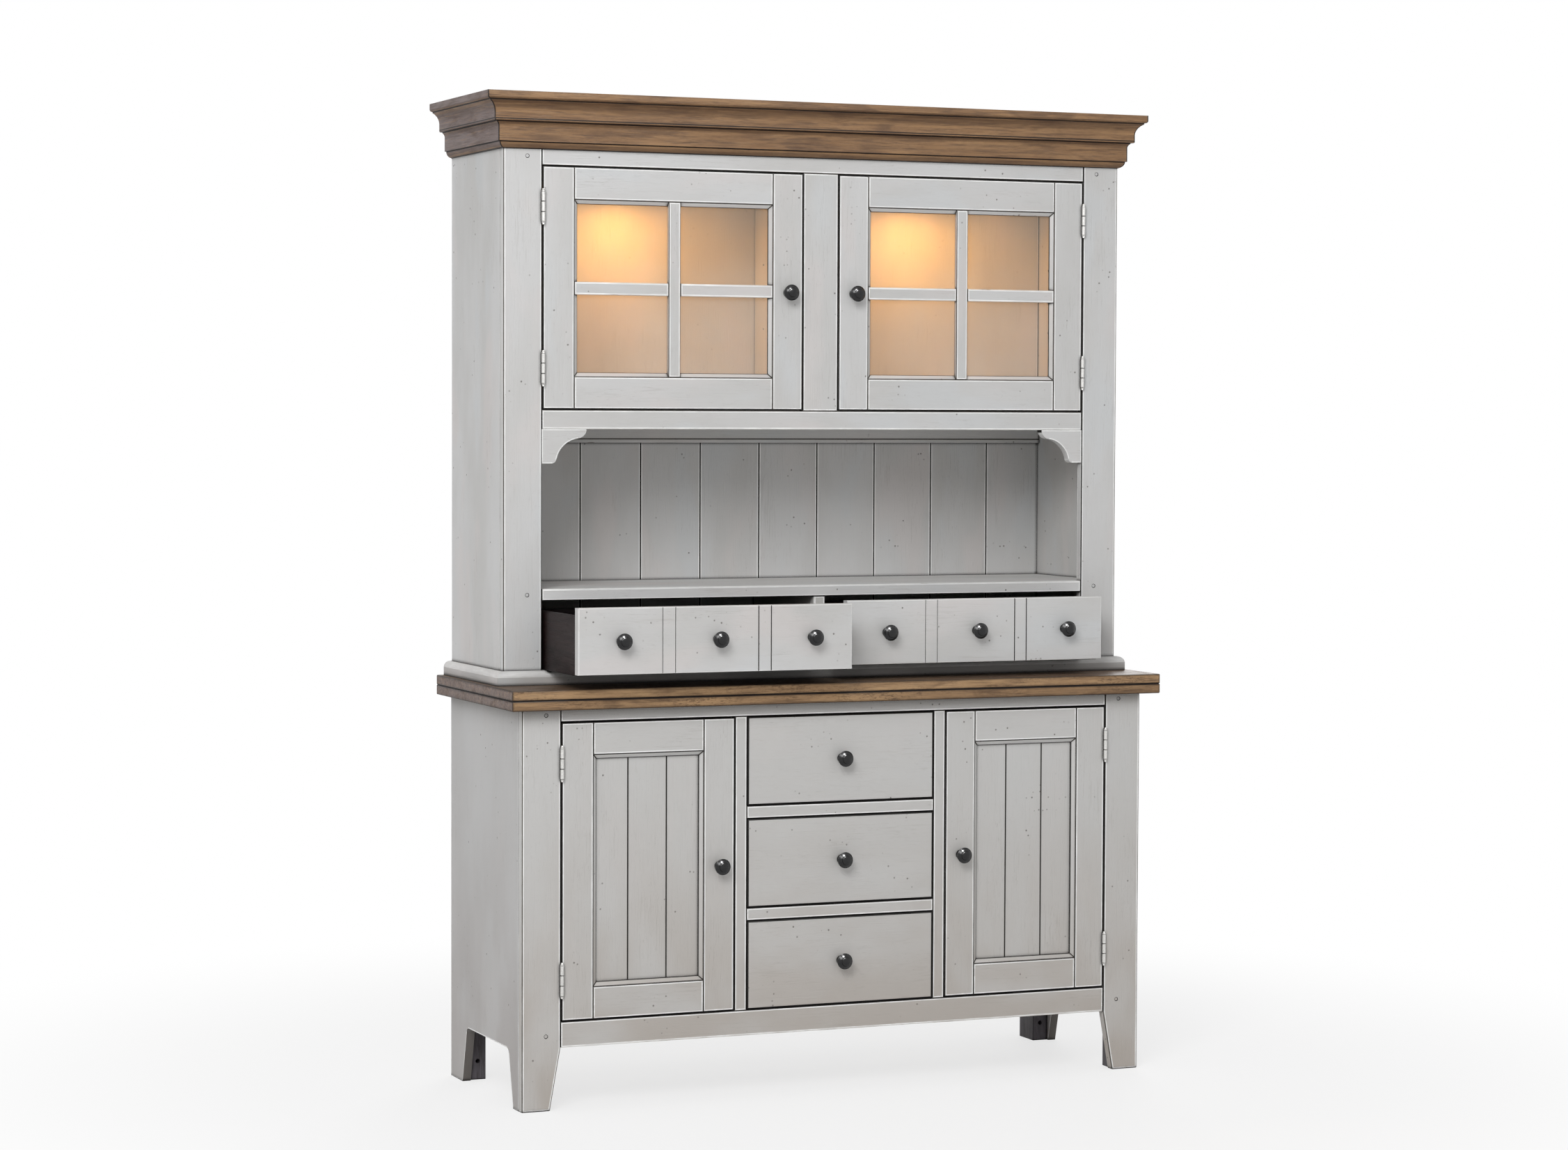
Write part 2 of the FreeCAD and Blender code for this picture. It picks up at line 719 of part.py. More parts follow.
# ------------------------------------------------------------------ doors
def bead_frame(x0, x1, z0, z1, y_face):
    """Four mitred beads around an opening, sloping back towards its middle."""
    shallow = y_face + bead_front
    deep = y_face + bead_back
    rear = y_face + muntin_thick

    wedge_low = [(z0, shallow), (z0 + bead_width, deep), (z0 + bead_width, rear), (z0, rear)]
    wedge_high = [(z1, shallow), (z1 - bead_width, deep), (z1 - bead_width, rear), (z1, rear)]
    pieces = []
    for wedge, outer, inner in ((wedge_low, z0, z0 + bead_width), (wedge_high, z1, z1 - bead_width)):
        strip = plate_yz([(y, z) for z, y in wedge], x0, x1)
        mitred = [(x0, outer), (x1, outer), (x1 - bead_width, inner), (x0 + bead_width, inner)]
        pieces.append(strip.common(plate_xz(mitred, shallow, rear)))
    for outer, inner in ((x0, x0 + bead_width), (x1, x1 - bead_width)):
        strip = plate_xy([(outer, shallow), (inner, deep), (inner, rear), (outer, rear)], z0, z1)
        mitred = [(outer, z0), (outer, z1), (inner, z1 - bead_width), (inner, z0 + bead_width)]
        pieces.append(strip.common(plate_xz(mitred, shallow, rear)))
    return pieces


def door_members(x0, x1, z0, z1, y_face):
    """Two stiles and two rails, and the opening between them."""
    back = y_face + door_thick
    inner_x0 = x0 + door_stile_width
    inner_x1 = x1 - door_stile_width
    inner_z0 = z0 + door_rail_width
    inner_z1 = z1 - door_rail_width
    pieces = [
        block(x0, inner_x0, y_face, back, z0, z1),
        block(inner_x1, x1, y_face, back, z0, z1),
        block(inner_x0, inner_x1, y_face, back, z0, inner_z0),
        block(inner_x0, inner_x1, y_face, back, inner_z1, z1),
    ]
    return pieces, (inner_x0, inner_x1, inner_z0, inner_z1)


def panel_door(x0, x1, z0, z1, y_face):
    """Left base door: frame with beads, and a panel with two grooves."""
    frame, (px0, px1, pz0, pz1) = door_members(x0, x1, z0, z1, y_face)
    frame += bead_frame(px0, px1, pz0, pz1, y_face)
    front = y_face + muntin_thick
    panel = block(px0, px1, front, front + panel_thick, pz0, pz1)
    middle = (px0 + px1) / 2
    for x in (middle - panel_plank / 2, middle + panel_plank / 2):
        panel = panel.cut(v_groove(x, front, panel_groove, pz0, pz1))
    return frame, panel


def glazed_door(x0, x1, z0, z1, y_face):
    """Left hutch door: frame, beads, one upright muntin, two crossing ones, and the pane."""
    frame, (px0, px1, pz0, pz1) = door_members(x0, x1, z0, z1, y_face)
    mid_x = (px0 + px1) / 2
    mid_z = (pz0 + pz1) / 2
    rear = y_face + muntin_thick
    bar = muntin_width / 2
    upright = block(mid_x - bar, mid_x + bar, y_face, rear, pz0, pz1)
    cross = [
        block(px0, mid_x - bar, y_face, rear, mid_z - bar, mid_z + bar),
        block(mid_x + bar, px1, y_face, rear, mid_z - bar, mid_z + bar),
    ]
    muntins = [upright] + cross
    for bead in bead_frame(px0, px1, pz0, pz1, y_face):
        for muntin in muntins:
            bead = bead.cut(muntin)
        frame += bead.Solids
    pane = block(px0 + pane_clearance, px1 - pane_clearance, rear, rear + glass_thick,
                 pz0 + pane_clearance, pz1 - pane_clearance)
    return frame + muntins, pane


def doors():
    fixed_all = []
    places = {
        "base": (-opening_edge, -mullion_outer, rail_bottom_top, base_opening_top, case_front),
        "hutch": (-opening_edge, -stile_half, hutch_opening_low, hutch_opening_high, hutch_front),
    }
    for name, (edge, far, low, high, y_face) in places.items():
        x0, x1 = edge + door_gap, far - door_gap
        z0, z1 = low + door_gap, high - door_gap
        maker, fill = (panel_door, "panel") if name == "base" else (glazed_door, "glass")
        frame, filling = maker(x0, x1, z0, z1, y_face)
        fixed, moving = hinges(edge, y_face, z0, z1)
        fixed_all += fixed
        handle = knob(x1 - door_stile_width / 2, y_face, (z0 + z1) / 2 - door_knob_drop)
        pieces = {"frame": frame, fill: [filling], "hinge_leaves": moving, "knob": [handle]}
        for part_name, solids in pieces.items():
            nodes[f"{name}_door_left_{part_name}"] = solids
            nodes[f"{name}_door_right_{part_name}"] = [mirrored(s) for s in solids]
    nodes["case_hinge_leaves"] = fixed_all + [mirrored(s) for s in fixed_all]
    nodes["door_catches"] = catches()


def catches():
    """Magnetic catches behind the free stiles: on the base partitions and under the hutch roof."""
    base_z = base_opening_top - door_rail_width
    base = block(-partition_outer - catch_thick, -partition_outer, frame_back, frame_back + catch_depth,
                 base_z - catch_width / 2, base_z + catch_width / 2)
    hutch_x = -stile_half - door_stile_width / 2
    hutch = block(hutch_x - catch_width / 2, hutch_x + catch_width / 2, hutch_frame_back,
                  hutch_frame_back + catch_depth, roof_under - catch_thick, roof_under)
    return pair(base) + pair(hutch)


# ------------------------------------------------------------------ drawers
def drawer_box(x0, x1, y0, depth, z0, height):
    """Sub-front, back, two sides and a bottom let into grooves in the sides."""
    y1 = y0 + depth
    z1 = z0 + height
    left_in = x0 + box_board
    right_in = x1 - box_board
    groove = box_board / 2
    bottom_z = z0 + box_bottom_rise
    bottom = block(left_in - groove, right_in + groove, y0 + groove, y1 - groove,
                   bottom_z, bottom_z + box_bottom_thick)
    boards = [
        block(x0, left_in, y0, y1, z0, z1),
        block(right_in, x1, y0, y1, z0, z1),
        block(left_in, right_in, y0, y0 + box_board, z0, z1),
        block(left_in, right_in, y1 - box_board, y1, z0, z1),
    ]
    return [board.cut(bottom) for board in boards] + [bottom]


def base_drawers():
    names = ["base_drawer_bottom", "base_drawer_middle", "base_drawer_top"]
    box_depth = base_panel_front - base_box_back_gap - (case_front + face_thick)
    for level, name in enumerate(names):
        opening_low = rail_bottom_top + level * drawer_pitch
        opening_high = opening_low + base_drawer_opening
        side = bay_half - drawer_gap
        face = block(-side, side, case_front, case_front + face_thick,
                     opening_low + drawer_gap, opening_high - drawer_gap)
        box_side = bay_half - box_side_gap
        box = drawer_box(-box_side, box_side, case_front + face_thick, box_depth,
                         opening_low + runner_rise + runner_play, base_box_height)
        middle = (opening_low + opening_high) / 2
        nodes[name + "_face"] = [rounded_front(face, case_front, face_round)]
        nodes[name + "_box"] = box
        nodes[name + "_knob"] = [knob(0, case_front, middle)]


def hutch_drawer(out):
    """Left hutch drawer, pulled out by the given distance: face, box and three knobs."""
    x0 = -opening_edge + hutch_face_side_gap
    x1 = -divider_half - hutch_face_side_gap
    y_face = hutch_front - out
    z0 = drawer_floor + hutch_face_low_gap
    z1 = shelf_under - hutch_face_top_gap
    face = rounded_front(block(x0, x1, y_face, y_face + face_thick, z0, z1), y_face, face_round)
    panel = (x1 - x0 - 2 * strip_width) / 3
    knobs = []
    for index in range(3):
        start = x0 + index * (panel + strip_width)
        knobs.append(knob(start + panel / 2, y_face, (z0 + z1) / 2))
        if index < 2:
            for x in (start + panel, start + panel + strip_width):
                face = face.cut(v_groove(x, y_face, strip_groove, z0, z1))
    box_depth = hutch_panel_front - hutch_box_back_gap - (hutch_front + face_thick)
    box = drawer_box(x0 + box_side_gap, x1 - box_side_gap, y_face + face_thick, box_depth,
                     drawer_floor + runner_play, hutch_box_height)
    return face, box, knobs


def hutch_drawers():
    left = hutch_drawer(left_drawer_out)
    right = hutch_drawer(right_drawer_out)
    face, box, knobs = left
    nodes["hutch_drawer_left_face"] = [face]
    nodes["hutch_drawer_left_box"] = box
    nodes["hutch_drawer_left_knobs"] = knobs
    face, box, knobs = right
    nodes["hutch_drawer_right_face"] = [mirrored(face)]
    nodes["hutch_drawer_right_box"] = [mirrored(board) for board in box]
    nodes["hutch_drawer_right_knobs"] = [mirrored(handle) for handle in knobs]


# ------------------------------------------------------------------ build and write
base_case()
counter()
hutch_case()
doors()
base_drawers()
hutch_drawers()

os.makedirs("parts", exist_ok=True)
for node_name, solids in sorted(nodes.items()):
    shape = solids[0] if len(solids) == 1 else Part.makeCompound(solids)
    shape.exportStep(f"parts/{node_name}.step")
print(len(nodes), "nodes,", sum(len(s) for s in nodes.values()), "pieces")
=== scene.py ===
import json
import math
import random

import bmesh
import bpy
from mathutils import Matrix, Vector
from mathutils.bvhtree import BVHTree

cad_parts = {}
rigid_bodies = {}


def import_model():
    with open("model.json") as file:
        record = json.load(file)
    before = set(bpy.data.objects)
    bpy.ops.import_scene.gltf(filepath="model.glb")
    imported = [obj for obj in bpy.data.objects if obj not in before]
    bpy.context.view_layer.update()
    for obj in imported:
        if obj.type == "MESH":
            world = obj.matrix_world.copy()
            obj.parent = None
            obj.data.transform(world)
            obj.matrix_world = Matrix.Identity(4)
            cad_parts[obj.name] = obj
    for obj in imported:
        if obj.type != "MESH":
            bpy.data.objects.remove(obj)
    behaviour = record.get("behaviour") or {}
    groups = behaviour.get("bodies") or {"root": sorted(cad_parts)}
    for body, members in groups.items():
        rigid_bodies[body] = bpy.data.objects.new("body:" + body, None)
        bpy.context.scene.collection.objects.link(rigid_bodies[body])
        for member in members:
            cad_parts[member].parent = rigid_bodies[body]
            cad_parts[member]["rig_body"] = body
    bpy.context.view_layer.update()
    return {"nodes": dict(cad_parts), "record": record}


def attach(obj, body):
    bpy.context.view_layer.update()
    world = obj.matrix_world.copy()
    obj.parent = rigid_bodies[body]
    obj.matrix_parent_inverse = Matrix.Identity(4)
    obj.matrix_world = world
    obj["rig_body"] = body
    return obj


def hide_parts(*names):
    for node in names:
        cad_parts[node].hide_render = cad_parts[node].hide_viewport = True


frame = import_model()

# A dresser with hutch. The CAD nodes give every shape and place; this script eases their edges,
# lays wood grain along each board, turns the knobs, hinges and lights, and lights the scene.

# ------------------------------------------------------------------ camera
CAMERA_PLACE = Vector((-3.1161, -7.2184, 1.42375))
CAMERA_YAW = 22.9515        # degrees, from +Y towards +X
CAMERA_PITCH = -2.4870
CAMERA_ROLL = 0.2170
FOCAL_PIXELS = 5266.84
PHOTO_WIDTH = 2253
SENSOR_MM = 36.0
VIEW_DEPTH = 100            # metres

# ------------------------------------------------------------------ boards
MICRON = 1e6                # frame points are matched to a millionth of a metre
BASE_TOP = 0.866            # the hutch stands on the base here
PLANK_WIDTH = 0.140         # of the beadboard back
EDGE_EASE = 0.0015          # worn round on every board edge
POST_EASE = 0.002
COUNTER_EASE = 0.0024
ROOM = 4                    # edges and flats are eased or rimmed if this many times as large
SHARP_ANGLE = math.radians(50)      # edges sharper than this are worn round
CURVE_ANGLE = math.radians(32)      # softer ones than this belong to a curve
INNER_ANGLE = math.radians(20)      # hollow ones sharper than this are an inner corner
FLAT_ANGLE = math.radians(0.5)      # below this two faces lie in one plane
SAME_SHARE = 0.01           # two parts of a normal this close are the same
ROUND_WIDTH = 0.004         # long curved faces narrower than this are a rounded edge
LONG_FACE = 4               # times ROUND_WIDTH
GROOVE_WIDTH = 0.0032       # slanted faces narrower than this are groove sides
GROOVE_SLANT = (0.6, 0.8)   # limits of the largest part of their normal, at about 45 degrees
GROOVE_LINE = 0.0006        # glaze and painted shade beside the grooves of a door panel
RIM_WIDTH = 0.0024          # rubbed band, partly a painted highlight, on the flat faces beside every edge
MITRE_WIDTH = 0.0016        # dark line on both sides of a mitre
LINE_WIDTH = 0.0024         # painted shade along a ledge of the cornice
CORNICE_LINES = (0.12, 0.475, 0.518, 0.845)     # their heights, as shares of its height
JOINT_REACH = 0.0046        # an edge with another board this near is a joint, not a worn edge
TOUCH_REACH = 0.0011        # and with one this near the two boards touch

# Faces carry two marks from 0 to 1, one for wear with painted highlight and one for dark glaze with
# painted shade. Wear and highlight:
EDGE_MARK = 1.0
RIM_MARK = 0.5              # the rubbed band beside an edge, partly a painted highlight
CURVE_MARK = 0.25           # the narrow faces of a rounding, with less rub and painted highlight
# Glaze, and painted shade in gaps, grooves and inner corners:
JOINT_MARK = 1.0
TOUCH_MARK = 0.6            # boards of one frame, which touch
GROOVE_MARK = 0.9           # the sides of a groove
GROOVE_LINE_MARK = 0.32     # the flats beside it
INNER_MARK = 0.7            # painted shade in inner corners and along the lines of the cornice
RAW_MARK = 0.42             # cut edges of the legs, with little paint
POST_MARK = 0.62            # free edges of the posts
COUNTER_MARK = 0.3          # free edges of the counter
COUNTER_RIM_MARK = 0.15     # and the flats beside them
HUTCH_JOINTS = 0.3          # how much of a joint's mark the hutch's sides and inner boards take

# ------------------------------------------------------------------ light
AMBIENT = 0.5
WARM_LIGHT = (1.0, 0.46, 0.10)
WARM_POWER = 0.76
GLOW_POWER = 0.7            # of the warm light that a bay's own walls send round
FLOOR_SIZE = 30
FLOOR_PLAIN = 0.7           # share of plain white in the floor under the object
FLOOR_FADE = (0.9, 2.4)     # between these distances it becomes plain white

# ------------------------------------------------------------------ turned pieces
# Profiles are pairs of a share of the radius and a share of the length.
ROUND_SEGMENTS = 56         # of knobs and lights
KNOB_BUTTON = 0.56          # radius of the raised round in the dome
KNOB_FOOT = ((0, 0), (0.56, 0), (0.57, 0.03), (0.54, 0.07), (0.44, 0.12), (0.385, 0.19),
             (0.37, 0.3), (0.375, 0.45), (0.42, 0.53), (0.52, 0.56), (0.8, 0.57), (0.93, 0.6),
             (0.985, 0.645))
PEG_SEGMENTS = 32
PEG_FIT = 0.86              # share of the hole's radius
PEG_SINK = 0.0012
PEG_SHIFT = 0.0006          # out of the hole's middle
PEG_AIM = (-0.05, -1, 0.03)         # leaning a little in the hole
LIGHT_CASE = ((0, 0), (1, 0), (1, 0.62), (0.985, 0.72), (0.94, 0.79), (0.86, 0.8), (0.75, 0.78),
              (0.72, 0.74))
LIGHT_RINGS = ((0.72, 0.74), (0.7, 0.9), (0.66, 0.97), (0.55, 0.98), (0.53, 0.93), (0.5, 0.98),
               (0.38, 0.985), (0.36, 0.94), (0.33, 0.99), (0.2, 0.995), (0.18, 0.95), (0.15, 1.0),
               (0, 1.0))
HINGE_SEGMENTS = 28
BARREL_RADIUS = 0.004
BORE_RADIUS = 0.0018        # of the knuckles, free of the pin
KNUCKLE_GAP = 0.0006        # shows dark between two knuckles
KNUCKLE_END = 0.85          # share of the radius where a knuckle's end is flat
LEAF_EASE = 0.0002
LEAF_START = 0.9            # barrel radii behind the pin
PIN_DEPTH = 2.2             # barrel radii: a deeper piece of a hinge is a leaf
LEAF_SKIN = 1e-4            # points this near its back belong to the plate
BARREL_SKIN = 1e-3          # and this near its front to the knuckles
PIN_TIP = ((0.4, 0), (0.4, 0.84), (0.99, 0.842), (0.95, 0.88), (0.62, 0.915), (0.66, 0.94),
           (0.72, 0.96), (0.62, 0.98), (0.35, 0.995), (0, 1))


def add_object(name, data):
    """A new object in the scene."""
    made = bpy.data.objects.new(name, data)
    bpy.context.scene.collection.objects.link(made)
    return made


def add_camera():
    yaw, pitch, roll = (math.radians(a) for a in (CAMERA_YAW, CAMERA_PITCH, CAMERA_ROLL))
    level = math.cos(pitch)
    forward = Vector((math.sin(yaw) * level, math.cos(yaw) * level, math.sin(pitch)))
    right = Vector((math.cos(yaw), -math.sin(yaw), 0))
    up = right.cross(forward)
    right_rolled = right * math.cos(roll) + up * math.sin(roll)
    up_rolled = up * math.cos(roll) - right * math.sin(roll)
    data = bpy.data.cameras.new("camera")
    data.sensor_width = SENSOR_MM
    data.lens = FOCAL_PIXELS / PHOTO_WIDTH * SENSOR_MM
    data.clip_end = VIEW_DEPTH
    camera = add_object("camera", data)
    rotation = Matrix((right_rolled, up_rolled, -forward)).transposed()
    camera.matrix_world = Matrix.Translation(CAMERA_PLACE) @ rotation.to_4x4()
    bpy.context.scene.camera = camera


# ------------------------------------------------------------------ node trees
def srgb(r, g, b):
    """A colour as it is read off a screen, made linear."""
    def linear(c):
        c /= 255
        return c / 12.92 if c <= 0.04045 else ((c + 0.055) / 1.055) ** 2.4
    return (linear(r), linear(g), linear(b), 1.0)


WHITE = (1.0, 1.0, 1.0, 1.0)
BLACK = (0.0, 0.0, 0.0, 1.0)
PINK_TINT = srgb(210, 204, 202)
BLUE_TINT = srgb(203, 206, 208)
STREAK = srgb(140, 135, 127)
PORE = srgb(120, 115, 108)
WORM_HOLE = srgb(72, 64, 56)
RUBBED_RIM_AND_HIGHLIGHT = srgb(248, 248, 247)
WORN_EDGE = srgb(232, 230, 226)
BARE_WOOD = srgb(118, 96, 76)
GLAZE_AND_SHADE = srgb(66, 60, 53)
DEEP_GLAZE_AND_SHADE = srgb(20, 18, 16)
PAINTED_COUNTER_SHADOW = srgb(62, 55, 48)
SEAM_SHADE = srgb(30, 26, 22)
STAINED_TOP_SHADE = srgb(58, 48, 45)


class Shade:
    """One material, with short calls for the nodes it is made of."""

    def __init__(self, name):
        self.material = bpy.data.materials.new(name)
        self.material.use_nodes = True
        self.tree = self.material.node_tree
        self.tree.nodes.clear()

    def feed(self, socket, value):
        if isinstance(value, bpy.types.NodeSocket):
            self.tree.links.new(value, socket)
        elif value is not None:
            socket.default_value = value

    def node(self, kind, inputs=(), **settings):
        made = self.tree.nodes.new(kind)
        for name, value in settings.items():
            setattr(made, name, value)
        for key, value in dict(inputs).items():
            self.feed(made.inputs[key], value)
        return made

    def attribute(self, name):
        return self.node("ShaderNodeAttribute", attribute_name=name).outputs["Vector"]

    def object_place(self):
        return self.node("ShaderNodeTexCoord").outputs["Object"]

    def facing(self):
        """The parts of the surface's own direction along X, Y and Z."""
        return self.split(self.node("ShaderNodeTexCoord").outputs["Normal"])

    def split(self, vector):
        made = self.node("ShaderNodeSeparateXYZ", {0: vector})
        return made.outputs[0], made.outputs[1], made.outputs[2]

    def stretch(self, vector, x, y, z):
        made = self.node("ShaderNodeVectorMath", {0: vector, 1: (x, y, z)}, operation="MULTIPLY")
        return made.outputs[0]

    def noise(self, vector, detail=3.0, rough=0.5, distortion=0.0):
        inputs = {"Vector": vector, "Scale": 1.0, "Detail": detail, "Roughness": rough,
                  "Distortion": distortion}
        return self.node("ShaderNodeTexNoise", inputs).outputs["Fac"]

    def cells(self, vector):
        """Distance to the nearest of many scattered points, and that point's random value."""
        inputs = {"Vector": vector, "Scale": 1.0, "Randomness": 1.0}
        made = self.node("ShaderNodeTexVoronoi", inputs)
        value = self.node("ShaderNodeSeparateColor", {0: made.outputs["Color"]}).outputs[0]
        return made.outputs["Distance"], value

    def calc(self, operation, a, b=None):
        return self.node("ShaderNodeMath", {0: a, 1: b}, operation=operation).outputs[0]

    def product(self, *values):
        total = values[0]
        for value in values[1:]:
            total = self.calc("MULTIPLY", total, value)
        return total

    def between(self, value, low, high, to_low=0.0, to_high=1.0):
        """A smooth step: to_low up to low, to_high from high on."""
        inputs = {0: value, 1: low, 2: high, 3: to_low, 4: to_high}
        return self.node("ShaderNodeMapRange", inputs, interpolation_type="SMOOTHSTEP").outputs[0]

    def mix(self, factor, a, b):
        made = self.node("ShaderNodeMix", {0: factor, 6: a, 7: b}, data_type="RGBA")
        return made.outputs[2]

    def crevice(self, reach, low, high):
        """One deep in a gap or an inner corner, zero on an open face."""
        made = self.node("ShaderNodeAmbientOcclusion", {"Distance": reach}, samples=6)
        return self.between(made.outputs["AO"], low, high, 1.0, 0.0)

    def bump(self, height, depth, strength=1.0):
        inputs = {"Height": height, "Distance": depth, "Strength": strength}
        return self.node("ShaderNodeBump", inputs).outputs[0]

    def finish(self, **inputs):
        shader = self.node("ShaderNodeBsdfPrincipled")
        for name, value in inputs.items():
            self.feed(shader.inputs[name.replace("_", " ")], value)
        self.node("ShaderNodeOutputMaterial", {0: shader.outputs[0]})
        return self.material


# ------------------------------------------------------------------ materials
def edge_marks(m):
    """Splits the marks into rounded edges, the rims beside them, glaze with painted shade, and the
    board's own tone.
    """
    edge, dark, tone = m.split(m.attribute("marks"))
    rounded = m.between(edge, 0.6, 0.9)
    rim = m.calc("SUBTRACT", m.between(edge, 0.1, 0.4), rounded)
    return rounded, rim, dark, tone


def painted_wood(name, light, dark, warm, worm=0.75, seam_shade=0.95):
    """Rubbed pale paint over wood: streaks, worm holes, bright rims with painted highlight, glaze
    in joints, painted shade in gaps, grooves, seams and corners, and a painted shadow under the
    counter.
    """
    m = Shade(name)
    grain = m.attribute("grain")
    rounded, rim, dark_mark, tone = edge_marks(m)
    height = m.split(m.object_place())[2]

    # Cloudy paint, here and there a little pink or blue, and warmer towards the floor; the base is
    # painted a shade darker than the hutch, as painted shade
    blotch = m.noise(m.stretch(grain, 2.2, 7, 7), 3, 0.55)
    blotch = m.calc("ADD", m.between(blotch, 0.3, 0.7, 0.0, 0.75), m.calc("MULTIPLY", tone, 0.25))
    colour = m.mix(blotch, light, dark)
    tint = m.noise(m.stretch(grain, 3.5, 9, 9), 2)
    colour = m.mix(m.between(tint, 0.52, 0.68, 0.0, 0.5), colour, PINK_TINT)
    colour = m.mix(m.between(tint, 0.32, 0.46, 0.5, 0.0), colour, BLUE_TINT)
    in_base = m.between(height, BASE_TOP - 0.01, BASE_TOP + 0.01, 1.0, 0.0)
    colour = m.mix(m.product(in_base, 0.75), colour, dark)
    cloud = m.between(m.noise(m.stretch(grain, 4, 8, 8), 2), 0.3, 0.65, 0.3, 1.0)
    low = m.product(m.between(height, 0.0, 0.74, 1.0, 0.0), cloud, in_base)
    colour = m.mix(low, colour, warm)

    # Streaks and pores along the grain, more of both in patches
    patch = m.between(m.noise(m.stretch(grain, 5, 16, 16), 2), 0.5, 0.66)
    streak = m.between(m.noise(m.stretch(grain, 14, 300, 300), 3, 0.6), 0.52, 0.7)
    colour = m.mix(m.product(streak, m.between(patch, 0, 1, 0.02, 0.14)), colour, STREAK)
    pore = m.between(m.noise(m.stretch(grain, 60, 700, 700), 2, 0.6), 0.62, 0.7)
    colour = m.mix(m.product(pore, m.between(patch, 0, 1, 0.02, 0.18)), colour, PORE)

    # Clusters of worm holes
    far, chance = m.cells(m.stretch(grain, 72, 72, 72))
    cluster = m.between(m.noise(m.stretch(grain, 13, 13, 13), 1), 0.57, 0.62)
    hole = m.between(far, 0.06, 0.2, 1.0, 0.0)
    speck = m.product(hole, m.between(chance, 0.35, 0.65), cluster)
    colour = m.mix(m.product(speck, worm), colour, WORM_HOLE)

    # Rubbed rims, paler than the paint and partly a painted highlight, and edges worn down to bare
    # wood in places
    rub = m.noise(m.stretch(grain, 14, 60, 60), 3, 0.7)
    colour = m.mix(m.product(rim, m.between(rub, 0.3, 0.65, 1.0, 0.55)), colour, RUBBED_RIM_AND_HIGHLIGHT)
    colour = m.mix(m.product(rounded, m.between(rub, 0.35, 0.6, 0.8, 0.3)), colour, WORN_EDGE)
    colour = m.mix(m.product(rounded, m.between(rub, 0.62, 0.7, 0.0, 0.6)), colour, BARE_WOOD)

    # Glaze in joints, near black as painted shade beside gaps, in grooves and inner corners; a
    # painted shadow under the counter; painted shade in every seam. A pane lies against the backs
    # of the glazing bars, so faces that look backwards have no painted seam shade.
    colour = m.mix(m.between(dark_mark, 0.0, 0.55, 0.0, 0.92), colour, GLAZE_AND_SHADE)
    colour = m.mix(m.between(dark_mark, 0.7, 0.95), colour, DEEP_GLAZE_AND_SHADE)
    # a painted shadow on the top of the base, under the counter's overhang
    counter_shadow_band = m.product(m.between(height, BASE_TOP - 0.08, BASE_TOP - 0.06), in_base)
    colour = m.mix(m.product(m.crevice(0.035, 0.45, 0.85), counter_shadow_band, 0.65), colour, PAINTED_COUNTER_SHADOW)
    # painted shade in every seam and crevice, none on faces that look backwards
    seam_shade_share = m.between(m.facing()[1], 0.6, 0.9, seam_shade, 0.0)
    colour = m.mix(m.product(m.crevice(0.008, 0.42, 0.95), seam_shade_share), colour, SEAM_SHADE)

    relief = m.calc("SUBTRACT", m.product(streak, -0.35),
                    m.calc("ADD", m.product(pore, 0.4), speck))
    return m.finish(Base_Color=colour, Roughness=m.between(blotch, 0, 1, 0.5, 0.62),
                    Normal=m.bump(relief, 0.0004), Specular_IOR_Level=0.3)


